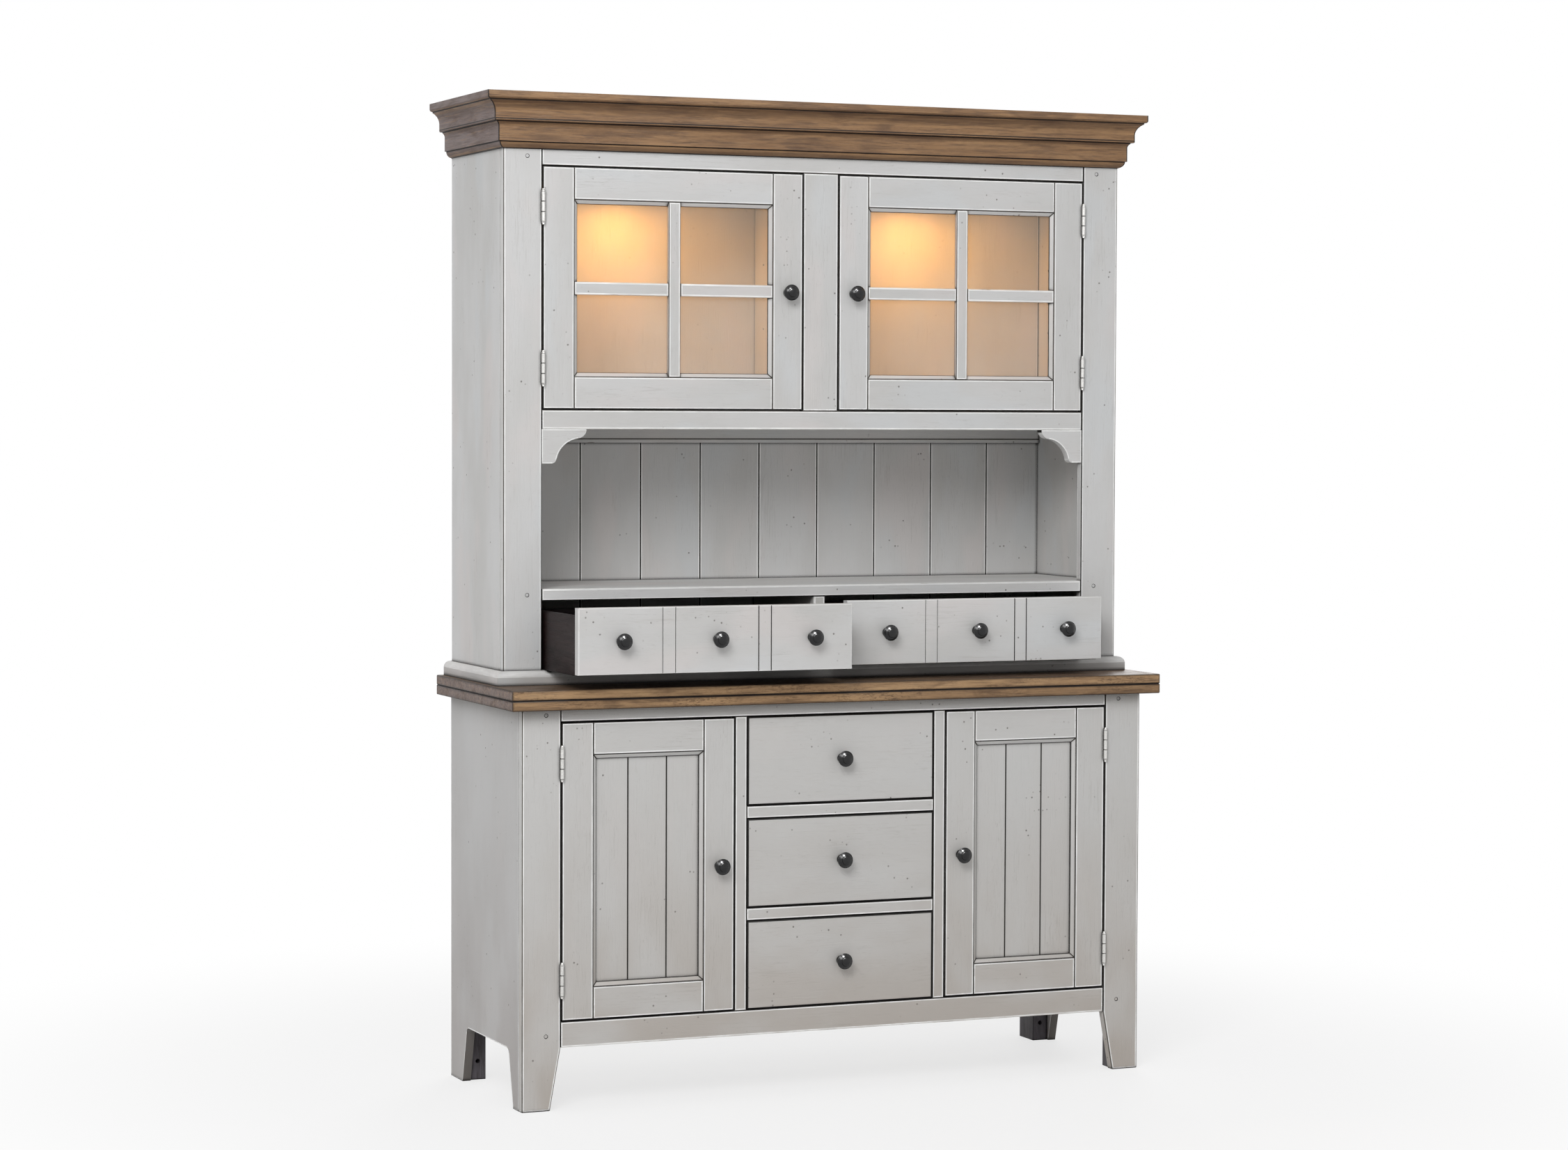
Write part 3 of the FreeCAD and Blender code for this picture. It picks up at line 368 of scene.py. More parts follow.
def stained_wood(name, base, light, dark, glaze_and_shade, side=None, contrast=0.6, sawn_share=1.0):
    """Brown stain: lengthwise figure, darker blotches, paler rims that are partly a painted
    highlight, and nearly black joints and crevices, partly painted shade.

    Ends and returns, which face left or right, can have their own greyer colour, a painted sheen;
    then tops are painted darker and undersides a little darker, as painted shade."""
    m = Shade(name)
    grain = m.attribute("grain")
    rounded, rim, dark_mark, _ = edge_marks(m)
    broad = m.noise(m.stretch(grain, 3.0, 26, 26), 4, 0.65, 0.4)
    colour = m.mix(m.between(broad, 0.38, 0.64), base, light)
    # paler rims beside the edges, rubbed and partly a painted highlight
    colour = m.mix(m.product(rim, 0.7), colour, light)
    # a painted sheen on faces that look left or right; painted shade on tops, and a little on
    # undersides
    if side is not None:
        across, _, up = m.facing()
        colour = m.mix(m.between(m.calc("ABSOLUTE", across), 0.6, 0.8), colour, side)
        colour = m.mix(m.between(up, 0.8, 0.95, 0.0, 0.8), colour, STAINED_TOP_SHADE)
        colour = m.mix(m.between(up, -0.6, -0.05, 0.55, 0.0), colour, dark)
    blotch = m.noise(m.stretch(grain, 7, 30, 30), 3, 0.6, 0.8)
    colour = m.mix(m.product(m.between(blotch, 0.48, 0.7), contrast), colour, dark)

    # Saw marks, in patches
    sawn = m.noise(m.stretch(grain, 90, 260, 260), 4, 0.75)
    patch = m.between(m.noise(m.stretch(grain, 5, 30, 30), 3, 0.6), 0.4, 0.62, 0.15, 1.0)
    sawn_share = m.product(patch, sawn_share)
    colour = m.mix(m.product(m.between(sawn, 0.48, 0.62), sawn_share), colour, dark)
    pale = m.mix(0.5, colour, light)
    colour = m.mix(m.product(m.between(sawn, 0.36, 0.47, 1.0, 0.0), sawn_share), colour, pale)

    # Threads along the grain
    thread = m.noise(m.stretch(grain, 9, 170, 170), 3, 0.7)
    colour = m.mix(m.product(m.between(thread, 0.5, 0.66), contrast), colour, dark)
    colour = m.mix(m.product(m.between(thread, 0.36, 0.46, 1.0, 0.0), contrast, 0.6), colour, light)
    fine = m.noise(m.stretch(grain, 18, 420, 420), 3, 0.7)
    colour = m.mix(m.product(m.between(fine, 0.5, 0.72), contrast, 0.7), colour, dark)

    # glaze in joints and on rounded edges, with painted shade in crevices
    glaze_and_shade_share = m.calc("MAXIMUM", m.between(dark_mark, 0.0, 0.5), m.product(rounded, 0.75))
    glaze_and_shade_share = m.calc("MAXIMUM", m.crevice(0.007, 0.4, 0.9), glaze_and_shade_share)
    colour = m.mix(m.product(glaze_and_shade_share, 0.95), colour, glaze_and_shade)
    relief = m.calc("SUBTRACT", m.product(sawn, sawn_share, -1.0), m.between(fine, 0.5, 0.74))
    return m.finish(Base_Color=colour, Roughness=m.between(blotch, 0.2, 0.8, 0.42, 0.55),
                    Normal=m.bump(relief, 0.0004), Specular_IOR_Level=0.2)


def metal(name, colour, worn, metallic, rough, hollow_shade, hollow, shine=0.5):
    """Mottled metal, with painted shade where another surface is within the reach hollow."""
    m = Shade(name)
    place = m.object_place()
    mottle = m.noise(m.stretch(place, 300, 300, 300), 3, 0.6)
    shade = m.mix(m.between(mottle, 0.35, 0.75), colour, worn)
    # painted shade near other surfaces
    shade = m.mix(m.product(m.crevice(hollow, 0.4, 0.92), 0.9), shade, hollow_shade)
    fine = m.noise(m.stretch(place, 1400, 1400, 1400), 2)
    return m.finish(Base_Color=shade, Metallic=metallic, Specular_IOR_Level=shine,
                    Normal=m.bump(fine, 0.00001, 0.6),
                    Roughness=m.between(mottle, 0.2, 0.8, rough, rough + 0.1))


def glass(name, colour, alpha):
    """Clear glass with a slight uneven haze."""
    m = Shade(name)
    haze = m.noise(m.stretch(m.object_place(), 9, 9, 9), 2)
    return m.finish(Base_Color=colour, Alpha=m.between(haze, 0.3, 0.7, alpha, alpha + 0.02),
                    Roughness=0.03, IOR=1.5, Specular_IOR_Level=0.3)


def moulded(name, colour, rough, emission=None, strength=0.0):
    """Plain moulded plastic, which can glow."""
    m = Shade(name)
    fine = m.noise(m.stretch(m.object_place(), 900, 900, 900), 2)
    shade = m.mix(m.between(fine, 0.3, 0.7, 0.0, 0.12), colour, BLACK)
    return m.finish(Base_Color=shade, Roughness=rough, Normal=m.bump(fine, 0.00005),
                    Emission_Color=emission, Emission_Strength=strength)


# ------------------------------------------------------------------ boards from the frame
def read_solids(node):
    """The node's solids, each a list of faces and each face a list of whole-micron points.

    The frame lists the solids one after another, so one ends where its last open edge closes."""
    mesh = frame["nodes"][node].data
    points = [tuple(round(c * MICRON) for c in v.co) for v in mesh.vertices]
    solids, faces, open_edges = [], [], set()
    for polygon in mesh.polygons:
        corners = [points[i] for i in polygon.vertices]
        if len(set(corners)) < 3:
            continue
        faces.append(corners)
        for a, b in zip(corners, corners[1:] + corners[:1]):
            open_edges ^= {(min(a, b), max(a, b))}
        if not open_edges:
            solids.append(faces)
            faces = []
    return solids


class Neighbours:
    """Tells how close a point lies to solids other than its own."""

    def __init__(self, solids):
        points, faces, self.owner = [], [], []
        for node, listed in solids.items():
            for index, solid in enumerate(listed):
                for corners in solid:
                    faces.append(range(len(points), len(points) + len(corners)))
                    points += [Vector(c) / MICRON for c in corners]
                    self.owner.append((node, index))
        self.tree = BVHTree.FromPolygons(points, faces)

    def joint_mark(self, place, owner):
        """Full beside a gap or another part, less in a frame's own joints, zero on a free edge."""
        found = self.tree.find_nearest_range(place, JOINT_REACH)
        near = [(distance, self.owner[face]) for _, _, face, distance in found
                if self.owner[face] != owner]
        if not near:
            return 0.0
        distance, (node, _) = min(near)
        return TOUCH_MARK if distance < TOUCH_REACH and node == owner[0] else JOINT_MARK


def as_bmesh(faces):
    """A solid as a mesh, its coplanar triangles merged."""
    bm = bmesh.new()
    made = {}
    for corners in faces:
        for c in corners:
            if c not in made:
                made[c] = bm.verts.new([x / MICRON for x in c])
        bm.faces.new([made[c] for c in corners])
    bm.normal_update()
    bmesh.ops.dissolve_limit(bm, angle_limit=FLAT_ANGLE, verts=bm.verts, edges=bm.edges)
    return bm


class Pieces:
    """Gathers boards into one mesh, with the two vectors that the wood materials read."""

    def __init__(self):
        self.points, self.faces, self.smooth = [], [], []
        self.grain, self.marks = [], []

    def take(self, bm, frame_axes, centre, offset_of, edge, dark, curved):
        start = len(self.points)
        bm.verts.index_update()
        self.points += [v.co.copy() for v in bm.verts]
        for face in bm.faces:
            self.faces.append([start + v.index for v in face.verts])
            self.smooth.append(bool(face[edge] == EDGE_MARK or face[curved]))
            offset, tone = offset_of(face)
            for v in face.verts:
                local = v.co - centre
                self.grain.append([local[a] + o for a, o in zip(frame_axes, offset)])
                self.marks.append((face[edge], face[dark], tone))

    def build(self, name, material):
        mesh = bpy.data.meshes.new(name)
        mesh.from_pydata(self.points, [], self.faces)
        mesh.polygons.foreach_set("use_smooth", self.smooth)
        mesh.set_sharp_from_angle(angle=CURVE_ANGLE)
        for title, values in (("grain", self.grain), ("marks", self.marks)):
            layer = mesh.attributes.new(title, "FLOAT_VECTOR", "CORNER")
            layer.data.foreach_set("vector", [c for value in values for c in value])
        mesh.materials.append(material)
        return add_object(name, mesh)


def is_groove_side(face):
    """Whether a face is long, narrow and at about 45 degrees."""
    long_edge = max(e.calc_length() for e in face.edges)
    slanted = GROOVE_SLANT[0] < max(abs(c) for c in face.normal) < GROOVE_SLANT[1]
    return slanted and face.calc_area() / long_edge < GROOVE_WIDTH


def cut(bm, place, normal):
    """Cut every face that a plane crosses."""
    everything = bm.verts[:] + bm.edges[:] + bm.faces[:]
    bmesh.ops.bisect_plane(bm, geom=everything, plane_co=place, plane_no=normal)


def mark_faces(bm, joint_at):
    """Mark groove sides, curved faces and the narrow ones of a rounding. Gives the face layers."""
    layers = edge, dark, curved = [bm.faces.layers.float.new(n) for n in ("edge", "dark", "curved")]
    for face in bm.faces:
        bends = [e.calc_face_angle(0) for e in face.edges]
        face[curved] = float(any(FLAT_ANGLE * 2 < b < CURVE_ANGLE for b in bends))
        face[dark] = GROOVE_MARK * (is_groove_side(face) and not face[curved])
        lengths = sorted(e.calc_length() for e in face.edges)
        if face[curved] and lengths[0] < ROUND_WIDTH < lengths[-1] / LONG_FACE:
            face[edge] = CURVE_MARK
            face[dark] = joint_at(face.calc_center_median())
    return layers


def mark_mitres(bm, dark):
    """Mark a narrow slice along the faces that are cut at 45 degrees to meet another board."""
    ends = {}
    for f in bm.faces:
        x, y, z = f.normal
        if abs(abs(x) - abs(y)) < SAME_SHARE and abs(z) < SAME_SHARE:
            ends[x > 0, y > 0] = (f.calc_center_median(), f.normal.copy())
    for centre, normal in ends.values():
        start = centre - normal * MITRE_WIDTH
        cut(bm, start, normal)
        for face in bm.faces:
            if normal.dot(face.calc_center_median() - start) > 0:
                face[dark] = JOINT_MARK


def mark_lines(bm, dark, shares):
    """Mark thin level bands right round a moulding, as painted shade along its ledges."""
    heights = [v.co.z for v in bm.verts]
    low, high = min(heights), max(heights)
    for share in shares:
        middle = low + share * (high - low)
        for level in (middle - LINE_WIDTH / 2, middle + LINE_WIDTH / 2):
            cut(bm, (0, 0, level), (0, 0, 1))
        for face in bm.faces:
            if abs(face.calc_center_median().z - middle) < LINE_WIDTH / 2:
                face[dark] = INNER_MARK


def round_edges(bm, ease, layers, joint_at, free_mark):
    """Wear every sharp edge round, and mark it as worn or, beside another board, as a joint."""
    sharp = [e for e in bm.edges if e.is_manifold and e.is_convex
             and e.calc_face_angle() > SHARP_ANGLE and e.calc_length() > ROOM * ease]
    rounded = bmesh.ops.bevel(bm, geom=sharp, offset=ease, offset_type="OFFSET", segments=2,
                              profile=0.55, affect="EDGES", clamp_overlap=True)
    edge, dark, _ = layers
    for face in rounded["faces"]:
        face[edge] = EDGE_MARK
        face[dark] = max(joint_at(face.calc_center_median()), free_mark)


def flat_groups(bm, edge, dark, curved):
    """Sets of faces that lie in one plane and touch, on open flats only."""
    flats = [f for f in bm.faces if not (f[edge] or f[dark] or f[curved])]
    left = set(flats)
    for first in flats:         # in their own order, so that every run comes out the same
        if first not in left:
            continue
        left.remove(first)
        group, front = [], [first]
        while front:
            face = front.pop()
            group.append(face)
            for e in face.edges:
                for other in e.link_faces:
                    if other in left and e.calc_face_angle(0) < FLAT_ANGLE:
                        left.remove(other)
                        front.append(other)
        yield group


def inset_flats(bm, layers, width):
    """Cut a level band along the outline of every flat. Gives its faces, save round small holes."""
    bands = []
    for group in list(flat_groups(bm, *layers)):
        longest = max(e.calc_length() for f in group for e in f.edges)
        if sum(f.calc_area() for f in group) / longest > ROOM * RIM_WIDTH:
            inset = bmesh.ops.inset_region(bm, faces=group, thickness=width, depth=0,
                                           use_boundary=True, use_even_offset=True)
            bands += inset["faces"]
    bm.normal_update()
    return [face for face in bands if max(e.calc_length() for e in face.edges) >= ROUND_WIDTH]


def line_grooves(bm, layers):
    """Glaze and painted shade on the flats beside every groove."""
    dark = layers[1]
    beside = [face for face in inset_flats(bm, layers, GROOVE_LINE)
              if any(other[dark] for e in face.edges for other in e.link_faces)]
    for face in beside:
        face[dark] = GROOVE_LINE_MARK


def add_rims(bm, layers, rim_dark):
    """A rubbed rim, partly a painted highlight, round every flat; dark, as painted shade, where it
    lies in an inner corner.
    """
    edge, dark, _ = layers
    for face in inset_flats(bm, layers, RIM_WIDTH):
        if any(not e.is_convex and e.calc_face_angle(0) > INNER_ANGLE for e in face.edges):
            face[dark] = INNER_MARK
        elif rim_dark:
            face[dark] = rim_dark
        else:
            face[edge] = RIM_MARK


def board_axes(bm, grain_axis):
    """The grain's axis, the one across the board and the one through it; and the board's middle."""
    low = Vector([min(v.co[a] for v in bm.verts) for a in range(3)])
    high = Vector([max(v.co[a] for v in bm.verts) for a in range(3)])
    order = sorted(range(3), key=lambda a: low[a] - high[a])
    if grain_axis is not None:
        order = [grain_axis] + [a for a in order if a != grain_axis]
    return order, (low + high) / 2


def box_faces(faces):
    """The box around a solid, as faces."""
    points = [c for corners in faces for c in corners]
    spans = [(min(c[a] for c in points), max(c[a] for c in points)) for a in range(3)]
    sides = []
    for a, b, c in ((0, 1, 2), (1, 2, 0), (2, 0, 1)):
        for end in (0, 1):
            turn = [(0, 0), (1, 0), (1, 1), (0, 1)]
            corners = []
            for i, j in turn if end else turn[::-1]:
                point = [None] * 3
                point[a], point[b], point[c] = spans[a][i], spans[b][j], spans[c][end]
                corners.append(tuple(point))
            sides.append(corners)
    return sides


def dress(node, material, grain_axis=None, planks=None, ease=EDGE_EASE, free_mark=0.0,
          boxed=False, rims=True, rim_dark=0.0, joints=1.0):
    """Replace a node by its own boards with eased edges, rims and grain.

    Every plank of the given width gets its own grain and tone. A boxed board starts from the box
    around it, so that its wide ease alone makes the line along it. The free mark is the glaze on
    edges that stand free, rim_dark that on the rims, and joints the share of a joint's mark."""
    chance = random.Random(node)
    pieces = Pieces()
    for index, faces in enumerate(solids_of[node]):
        def joint_at(place):
            return joints * neighbours.joint_mark(place, (node, index))

        bm = as_bmesh(box_faces(faces) if boxed else faces)
        axes, centre = board_axes(bm, grain_axis)
        drawn = {}

        def offset_of(face):
            boarded = planks and face.normal.y < 0.5
            plank = round(face.calc_center_median().x / planks - 0.5) if boarded else 0
            if plank not in drawn:
                drawn[plank] = ([chance.uniform(-4, 4) for _ in range(3)], chance.random())
            return drawn[plank]

        layers = mark_faces(bm, joint_at)
        if node == "cornice":
            mark_lines(bm, layers[1], CORNICE_LINES)
            mark_mitres(bm, layers[1])
        if node == "base_sides":
            for face in bm.faces:
                face[layers[1]] = RAW_MARK * (face.normal.y < -0.5)
        if ease:
            round_edges(bm, ease, layers, joint_at, free_mark)
        if node.endswith("panel"):
            line_grooves(bm, layers)
        elif rims:
            add_rims(bm, layers, rim_dark)
        bm.normal_update()
        pieces.take(bm, axes, centre, offset_of, *layers)
        bm.free()
    adopt(pieces.build(node + "_worked", material), node)


def adopt(made, *nodes):
    """The new object takes the nodes' place and body, and the nodes are hidden."""
    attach(made, body_of[nodes[0]])
    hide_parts(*nodes)


# ------------------------------------------------------------------ turned pieces
def lathe(bm, profile, place, segments, material=0, closed=False):
    """Turn a profile of (radius, rise) pairs around the axis that place puts Z on."""
    rings = []
    for radius, rise in profile:
        if radius < 1e-7:
            rings.append([bm.verts.new(place @ Vector((0, 0, rise)))])
            continue
        turns = [math.tau * i / segments for i in range(segments)]
        ring = [Vector((radius * math.cos(t), radius * math.sin(t), rise)) for t in turns]
        rings.append([bm.verts.new(place @ point) for point in ring])
    pairs = list(zip(rings, rings[1:]))
    if closed:
        pairs.append((rings[-1], rings[0]))
    for low, high in pairs:
        for i in range(segments):
            j = (i + 1) % segments
            corners = [low[i % len(low)], low[j % len(low)],
                       high[j % len(high)], high[i % len(high)]]
            face = bm.faces.new(list(dict.fromkeys(corners)))
            face.smooth = True
            face.material_index = material


def solid_box(faces):
    """The low and high corner of a solid, in metres."""
    points = [c for corners in faces for c in corners]
    low = Vector([min(p[a] for p in points) / MICRON for a in range(3)])
    high = Vector([max(p[a] for p in points) / MICRON for a in range(3)])
    return low, high


def placed(x, y, z, toward=None):
    """A frame at a point, with its Z axis turned towards a direction."""
    turn = Matrix.Identity(4)
    if toward is not None:
        turn = Vector(toward).to_track_quat("Z", "Y").to_matrix().to_4x4()
    return Matrix.Translation((x, y, z)) @ turn


def finish_turned(bm, node, name, *slots):
    """Make an object of turned pieces, which takes the node's place."""
    bmesh.ops.recalc_face_normals(bm, faces=bm.faces)
    mesh = bpy.data.meshes.new(name)
    bm.to_mesh(mesh)
    bm.free()
    mesh.set_sharp_from_angle(angle=CURVE_ANGLE)
    layer = mesh.attributes.new("grain", "FLOAT_VECTOR", "POINT")
    layer.data.foreach_set("vector", [c for v in mesh.vertices for c in v.co])
    for material in slots:
        mesh.materials.append(material)
    adopt(add_object(name, mesh), node)


def knob_profile(radius, reach):
    """Flared foot, neck, rolled rim and a dome with a raised round in its middle."""
    button = radius * KNOB_BUTTON
    rise = reach * 0.25
    step = reach * 0.025
    ball = (radius ** 2 + rise ** 2) / (2 * rise)

    def dome(r):
        return reach - step - ball + math.sqrt(ball ** 2 - r ** 2)

    outline = [(r * radius, h * reach) for r, h in KNOB_FOOT]
    outline += [(radius, dome(radius) - 0.0012), (radius * 0.995, dome(radius * 0.98))]
    outline += [(radius * t, dome(radius * t)) for t in (0.93, 0.86, 0.78, 0.7, 0.62, 0.585)]
    outline += [(button, dome(button) - step * 0.6), (button * 0.985, dome(button) + step * 0.7)]
    outline += [(button * t, dome(button * t) + step)
                for t in (0.93, 0.8, 0.65, 0.5, 0.35, 0.2, 0.08)]
    return outline + [(0, reach)]


def turn_knobs(node, material):
    """Round metal knobs that face the front."""
    bm = bmesh.new()
    for faces in solids_of[node]:
        low, high = solid_box(faces)
        middle = (low + high) / 2
        profile = knob_profile((high.x - low.x) / 2, high.y - low.y)
        lathe(bm, profile, placed(middle.x, high.y, middle.z, (0, -1, 0)), ROUND_SEGMENTS)
    finish_turned(bm, node, node + "_turned", material)


def turn_pegs(node, material):
    """Wood plugs with a domed end, a little loose in their holes."""
    bm = bmesh.new()
    for faces in solids_of[node]:
        low, high = solid_box(faces)
        middle = (low + high) / 2
        radius, length = (high.x - low.x) / 2 * PEG_FIT, high.y - low.y - PEG_SINK
        profile = [(0, 0), (radius, 0), (radius, length - 0.0008), (radius * 0.93, length - 0.0002),
                   (radius * 0.8, length), (0, length - 0.0004)]
        place = placed(middle.x + PEG_SHIFT, high.y, middle.z, PEG_AIM)
        lathe(bm, profile, place, PEG_SEGMENTS)
    finish_turned(bm, node, node + "_turned", material)


def plate(bm, low, high, ease):
    """A flat plate with eased edges."""
    made = bmesh.ops.create_cube(bm, size=1.0)["verts"]
    for v in made:
        v.co = Vector([low[a] if v.co[a] < 0 else high[a] for a in range(3)])
    edges = list(dict.fromkeys(e for v in made for e in v.link_edges))
    bmesh.ops.bevel(bm, geom=edges, offset=ease, offset_type="OFFSET", segments=2,
                    profile=0.5, affect="EDGES")


def turn_hinges(node, material):
    """Leaves become an eased plate with rolled knuckles; pins get a ball tip at each end."""
    bm = bmesh.new()
    for faces in solids_of[node]:
        low, high = solid_box(faces)
        if high.y - low.y < PIN_DEPTH * BARREL_RADIUS:
            middle = (low + high) / 2
            span = (high.z - low.z) / 2
            tip = [(r * BARREL_RADIUS, span * h) for r, h in PIN_TIP]
            for way in (-1, 1):
                place = placed(middle.x, middle.y, middle.z, (0, 0, way))
                lathe(bm, tip, place, HINGE_SEGMENTS)
            continue
        points = [Vector(c) / MICRON for corners in faces for c in corners]
        axis_y = low.y + BARREL_RADIUS
        barrel_x = [p.x for p in points if p.y < axis_y]
        axis_x = (min(barrel_x) + max(barrel_x)) / 2
        leaf_x = [p.x for p in points if p.y > high.y - LEAF_SKIN]
        left, right = min(leaf_x), max(leaf_x)
        leaf_y = axis_y + BARREL_RADIUS * LEAF_START
        plate(bm, (left, leaf_y, low.z), (right, high.y, high.z), LEAF_EASE)
        levels = sorted({round(p.z, 5) for p in points if p.y < low.y + BARREL_SKIN})
        for bottom, top in zip(levels[::2], levels[1::2]):
            flat, end = BARREL_RADIUS * KNUCKLE_END, top - bottom - KNUCKLE_GAP
            ring = [(BORE_RADIUS, KNUCKLE_GAP), (flat, KNUCKLE_GAP),
                    (BARREL_RADIUS, KNUCKLE_GAP * 2), (BARREL_RADIUS, end - KNUCKLE_GAP),
                    (flat, end), (BORE_RADIUS, end)]
            lathe(bm, ring, placed(axis_x, axis_y, bottom), HINGE_SEGMENTS, closed=True)
            plate(bm, (left, axis_y, bottom), (right, axis_y + BARREL_RADIUS, top), LEAF_EASE)
    finish_turned(bm, node, node + "_rolled", material)


def turn_lights(node, housing, lens):
    """A round case under the roof, with a ringed lens below."""
    bm = bmesh.new()
    for faces in solids_of[node]:
        low, high = solid_box(faces)
        middle = (low + high) / 2
        radius, depth = (high.x - low.x) / 2, high.z - low.z
        place = placed(middle.x, middle.y, high.z, (0, 0, -1))
        for index, shares in enumerate((LIGHT_CASE, LIGHT_RINGS)):
            profile = [(r * radius, h * depth) for r, h in shares]
            lathe(bm, profile, place, ROUND_SEGMENTS, material=index)
    finish_turned(bm, node, node + "_turned", housing, lens)


# ------------------------------------------------------------------ what each node is made of
body_of = {node: obj["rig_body"] for node, obj in frame["nodes"].items()}
solids_of = {node: read_solids(node) for node in sorted(frame["nodes"])}
neighbours = Neighbours(solids_of)
slot_of = {part["node"]: part["material_slot"] for part in frame["record"]["subparts"]}

materials = {
    "painted_wood": painted_wood(
        "painted_wood", srgb(207, 207, 207), srgb(195, 194, 192), srgb(178, 171, 164)),
    "back_board": painted_wood(
        "back_board", srgb(206, 205, 202), srgb(192, 190, 186), srgb(180, 176, 168),
        worm=0.2, seam_shade=0.3),
    "stained_wood": stained_wood(
        "stained_wood", srgb(136, 104, 74), srgb(162, 127, 91), srgb(84, 63, 50), srgb(26, 16, 11),
        side=srgb(118, 104, 101), contrast=0.5, sawn_share=0.15),
    "dark_wood": stained_wood(
        "dark_wood", srgb(31, 20, 20), srgb(42, 29, 28), srgb(21, 14, 14), srgb(12, 10, 9),
        sawn_share=0.3),
    "plain_wood": stained_wood(
        "plain_wood", srgb(104, 86, 70), srgb(124, 104, 84), srgb(72, 58, 48), srgb(30, 24, 20),
        contrast=0.45, sawn_share=0.3),
    "knob_metal": metal(
        "knob_metal", srgb(12, 12, 13), srgb(22, 22, 24), metallic=0.1, rough=0.16,
        hollow_shade=srgb(4, 4, 4), hollow=0.008, shine=0.45),
    "hinge_metal": metal(
        "hinge_metal", srgb(206, 205, 202), srgb(226, 225, 222), metallic=0.4, rough=0.32,
        hollow_shade=srgb(52, 48, 44), hollow=0.007),
    "clear_glass": glass("clear_glass", srgb(238, 244, 241), alpha=0.06),
    "light_plastic": moulded("light_plastic", srgb(236, 232, 222), rough=0.45),
    "catch_plastic": moulded("catch_plastic", srgb(92, 78, 66), rough=0.4),
}
# Lit and shaded copies of the paint: the base's sides and the foot moulding painted darker as
# painted shade, the niche shelf lighter as painted light, and the hutch's inner boards warmer, a
# painted glow of the bay lamps.
shaded_side_paint = painted_wood(
    "shaded_side_paint", srgb(200, 200, 201), srgb(190, 189, 188), srgb(174, 170, 168))
shaded_moulding_paint = painted_wood(
    "shaded_moulding_paint", srgb(178, 176, 174), srgb(167, 165, 163), srgb(168, 162, 156))
lit_shelf_paint = painted_wood(
    "lit_shelf_paint", srgb(217, 217, 217), srgb(207, 206, 204), srgb(178, 171, 164))
warm_lit_bay_wall = painted_wood(
    "warm_lit_bay_wall", srgb(211, 205, 196), srgb(199, 193, 184), srgb(184, 178, 168), worm=0.3, seam_shade=0.3)
# A lit and a shaded copy of the counter's stain: the top board painted lighter and the underboard
# darker.
lit_sawn_top = stained_wood(
    "lit_sawn_top", srgb(152, 122, 90), srgb(180, 147, 109), srgb(82, 61, 46), srgb(24, 15, 11),
    side=srgb(118, 104, 99), contrast=0.45, sawn_share=0.65)
shaded_sawn_low = stained_wood(
    "shaded_sawn_low", srgb(142, 113, 83), srgb(168, 136, 100), srgb(78, 58, 44), srgb(24, 15, 11),
    side=srgb(118, 104, 99), contrast=0.45, sawn_share=0.65)
bare_block = stained_wood(
    "bare_block", srgb(78, 74, 77), srgb(92, 88, 93), srgb(52, 48, 48), srgb(16, 13, 12),
    sawn_share=0.3)
lens = moulded("light_lens", srgb(250, 244, 230), rough=0.3, emission=srgb(255, 214, 150),
               strength=4.0)

WOODS = ("painted_wood", "back_board", "stained_wood", "dark_wood", "plain_wood")
OWN_LOOK = {
    "counter_top": lit_sawn_top, "counter_underboard": shaded_sawn_low, "leg_blocks": bare_block,
    "partitions": materials["back_board"], "hutch_boards": warm_lit_bay_wall, "base_sides": shaded_side_paint,
    "foot_moulding": shaded_moulding_paint, "niche_shelf": lit_shelf_paint,
}
SHAPED = ("panel", "face")          # nodes so named have grooves or rounded fronts in the CAD
POSTS = {"ease": POST_EASE, "free_mark": POST_MARK}
COUNTER = {"boxed": True, "ease": COUNTER_EASE, "free_mark": COUNTER_MARK,
           "rim_dark": COUNTER_RIM_MARK}
SPECIAL = {
    "beadboard_back": {"grain_axis": 2, "planks": PLANK_WIDTH, "ease": 0},
    "back_panels": {"grain_axis": 2},
    "base_posts": POSTS,
    "hutch_posts": POSTS,
    "foot_moulding": {"rims": False},
    "cornice": {"rims": False},
    "counter_top": COUNTER,
    "counter_underboard": COUNTER,
    "hutch_boards": {"joints": HUTCH_JOINTS},
    "hutch_sides": {"joints": HUTCH_JOINTS},
}

for node in sorted(frame["nodes"]):
    slot = slot_of[node]
    if slot == "knob_metal":
        turn_knobs(node, materials[slot])
    elif slot == "hinge_metal" and "hinge" in node:
        turn_hinges(node, materials[slot])
    elif slot == "light_plastic":
        turn_lights(node, materials[slot], lens)
    elif node == "pegs":
        turn_pegs(node, materials[slot])
    elif slot in WOODS:
        usual = {"ease": 0} if node.endswith(SHAPED) else {"rims": not node.endswith("_box")}
        dress(node, OWN_LOOK.get(node, materials[slot]), **SPECIAL.get(node, usual))
    else:
        painted = frame["nodes"][node].data.materials
        painted.clear()
        painted.append(materials[slot])


# ------------------------------------------------------------------ light, floor and background
def add_area_lamp(name, place, aim, size, power, glint=False):
    """A disc that shines at a point; a glint lamp shows in reflections alone."""
    data = bpy.data.lights.new(name, "AREA")
    data.shape = "DISK"
    data.size = size
    data.energy = power
    lamp = add_object(name, data)
    lamp.visible_diffuse = not glint
    lamp.visible_camera = False
    lamp.location = place
    lamp.rotation_euler = (Vector(aim) - Vector(place)).to_track_quat("-Z", "Y").to_euler()


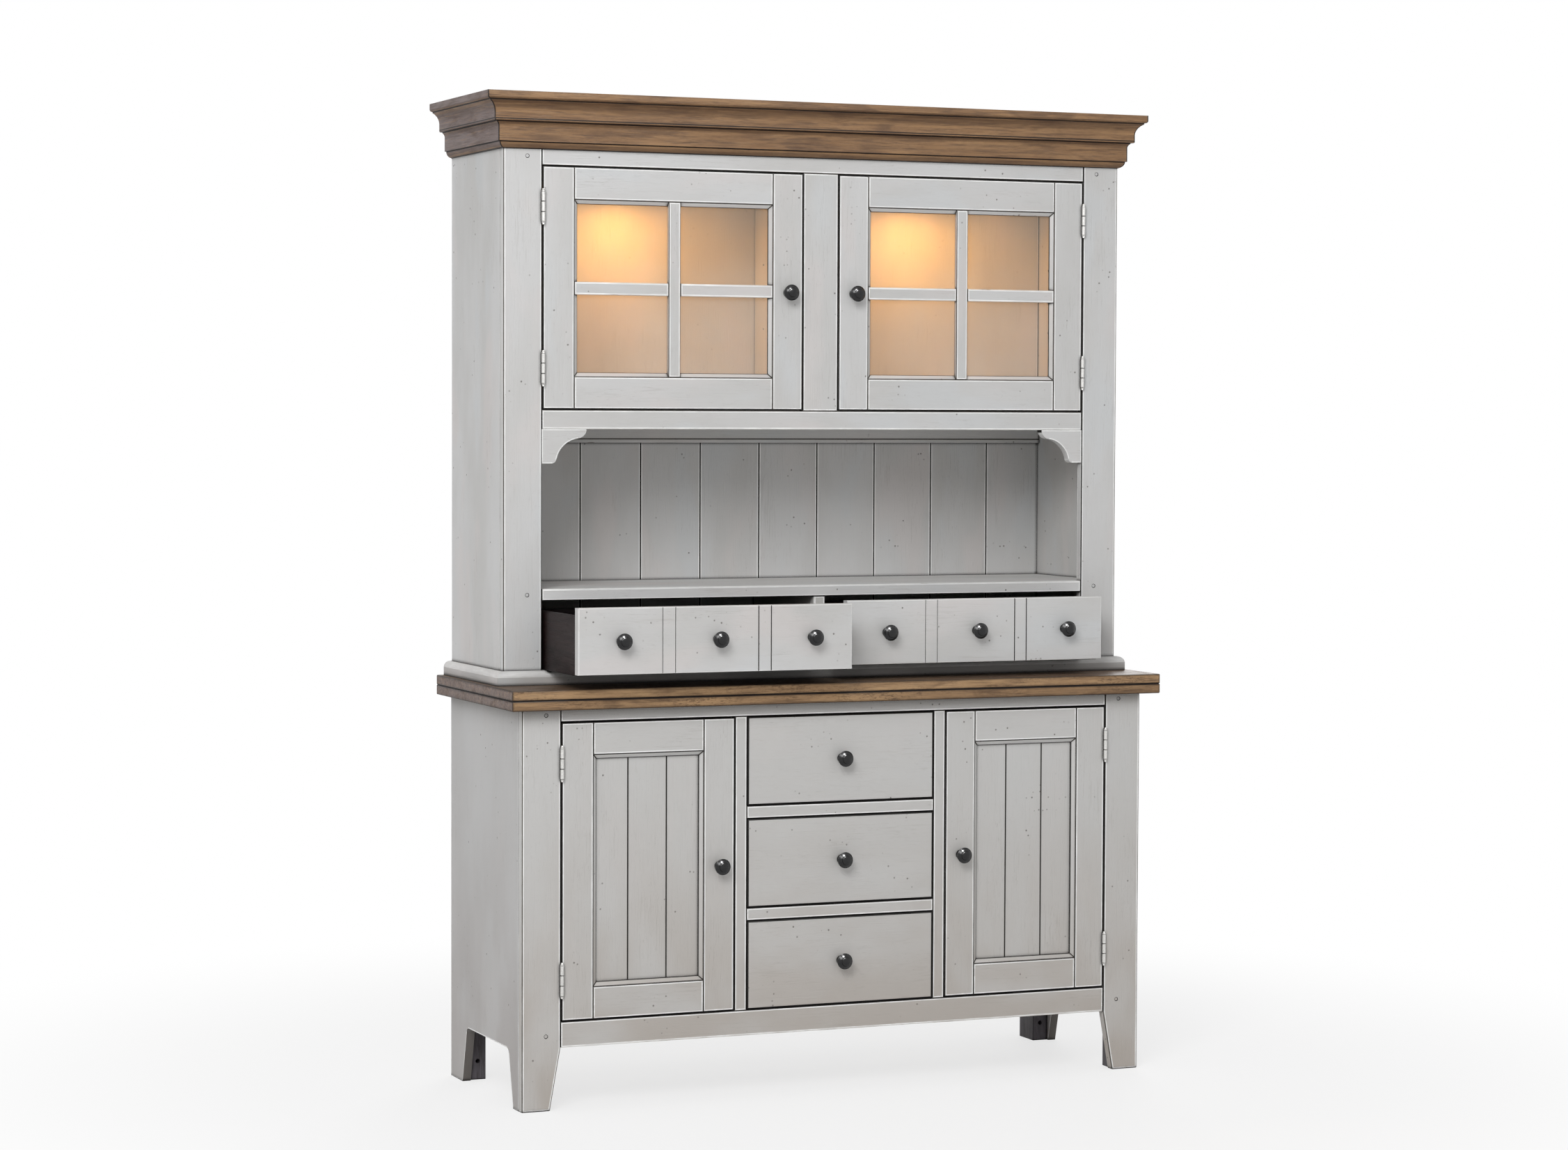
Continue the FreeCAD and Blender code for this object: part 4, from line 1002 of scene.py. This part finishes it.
def add_warm_lamp(name, place, width, depth, power, spread):
    """A warm panel under a round light, which shines straight down."""
    data = bpy.data.lights.new(name, "AREA")
    data.shape = "RECTANGLE"
    data.size = width
    data.size_y = depth
    data.spread = math.radians(spread)
    data.energy = power
    data.color = WARM_LIGHT
    lamp = add_object(name, data)
    lamp.visible_camera = False
    lamp.location = place


def seen_directly(tree):
    """One for camera, mirror and see-through rays, which meet a plain white background."""
    path = tree.nodes.new("ShaderNodeLightPath")
    total = path.outputs["Is Camera Ray"]
    for name in ("Is Glossy Ray", "Is Transmission Ray"):
        either = tree.nodes.new("ShaderNodeMath")
        either.operation = "MAXIMUM"
        tree.links.new(total, either.inputs[0])
        tree.links.new(path.outputs[name], either.inputs[1])
        total = either.outputs[0]
    return total


def add_world(strength):
    """Even soft light, and plain white where it is seen."""
    world = bpy.data.worlds.new("world")
    world.use_nodes = True
    tree = world.node_tree
    back = tree.nodes["Background"]
    level = tree.nodes.new("ShaderNodeMapRange")
    tree.links.new(seen_directly(tree), level.inputs[0])
    level.inputs[3].default_value = strength
    level.inputs[4].default_value = 1.0
    back.inputs[0].default_value = WHITE
    tree.links.new(level.outputs[0], back.inputs[1])
    bpy.context.scene.world = world


def add_floor():
    """A white floor that keeps the shadow near the object and turns plain white away from it."""
    bm = bmesh.new()
    bmesh.ops.create_grid(bm, x_segments=1, y_segments=1, size=FLOOR_SIZE)
    mesh = bpy.data.meshes.new("floor")
    bm.to_mesh(mesh)
    bm.free()
    m = Shade("floor")
    x, y, _ = m.split(m.object_place())
    away = m.calc("SQRT", m.calc("ADD", m.product(x, x), m.product(y, y)))
    plain = m.product(m.between(away, *FLOOR_FADE, FLOOR_PLAIN, 1.0), seen_directly(m.tree))
    diffuse = m.node("ShaderNodeBsdfDiffuse", {0: srgb(236, 236, 236)})
    white = m.node("ShaderNodeEmission", {0: WHITE, 1: 1.0})
    both = m.node("ShaderNodeMixShader", {0: plain, 1: diffuse.outputs[0], 2: white.outputs[0]})
    m.node("ShaderNodeOutputMaterial", {0: both.outputs[0]})
    mesh.materials.append(m.material)
    floor = add_object("floor", mesh)


add_camera()
add_world(AMBIENT)
add_floor()
add_area_lamp("key", (-4.0, -5.2, 4.8), aim=(0, 0, 1.2), size=3.6, power=270)
add_area_lamp("back_fill", (3.5, 6.0, 3.6), aim=(0, 0, 1.0), size=3.6, power=150)
add_area_lamp("glint", (-0.4, -3.4, 4.6), aim=(0, 0, 1.0), size=1.5, power=420, glint=True)
for faces in solids_of["puck_lights"]:
    low, high = solid_box(faces)
    middle = (low + high) / 2
    side = "left" if middle.x < 0 else "right"
    add_warm_lamp(f"bay_light_{side}", (middle.x + 0.005, middle.y + 0.04, low.z - 0.001),
                  width=0.04, depth=0.04, power=WARM_POWER, spread=160)
    add_warm_lamp(f"bay_glow_{side}", (middle.x, middle.y, low.z - 0.004),
                  width=0.5, depth=0.2, power=GLOW_POWER, spread=180)

bpy.context.scene.view_settings.view_transform = "Standard"
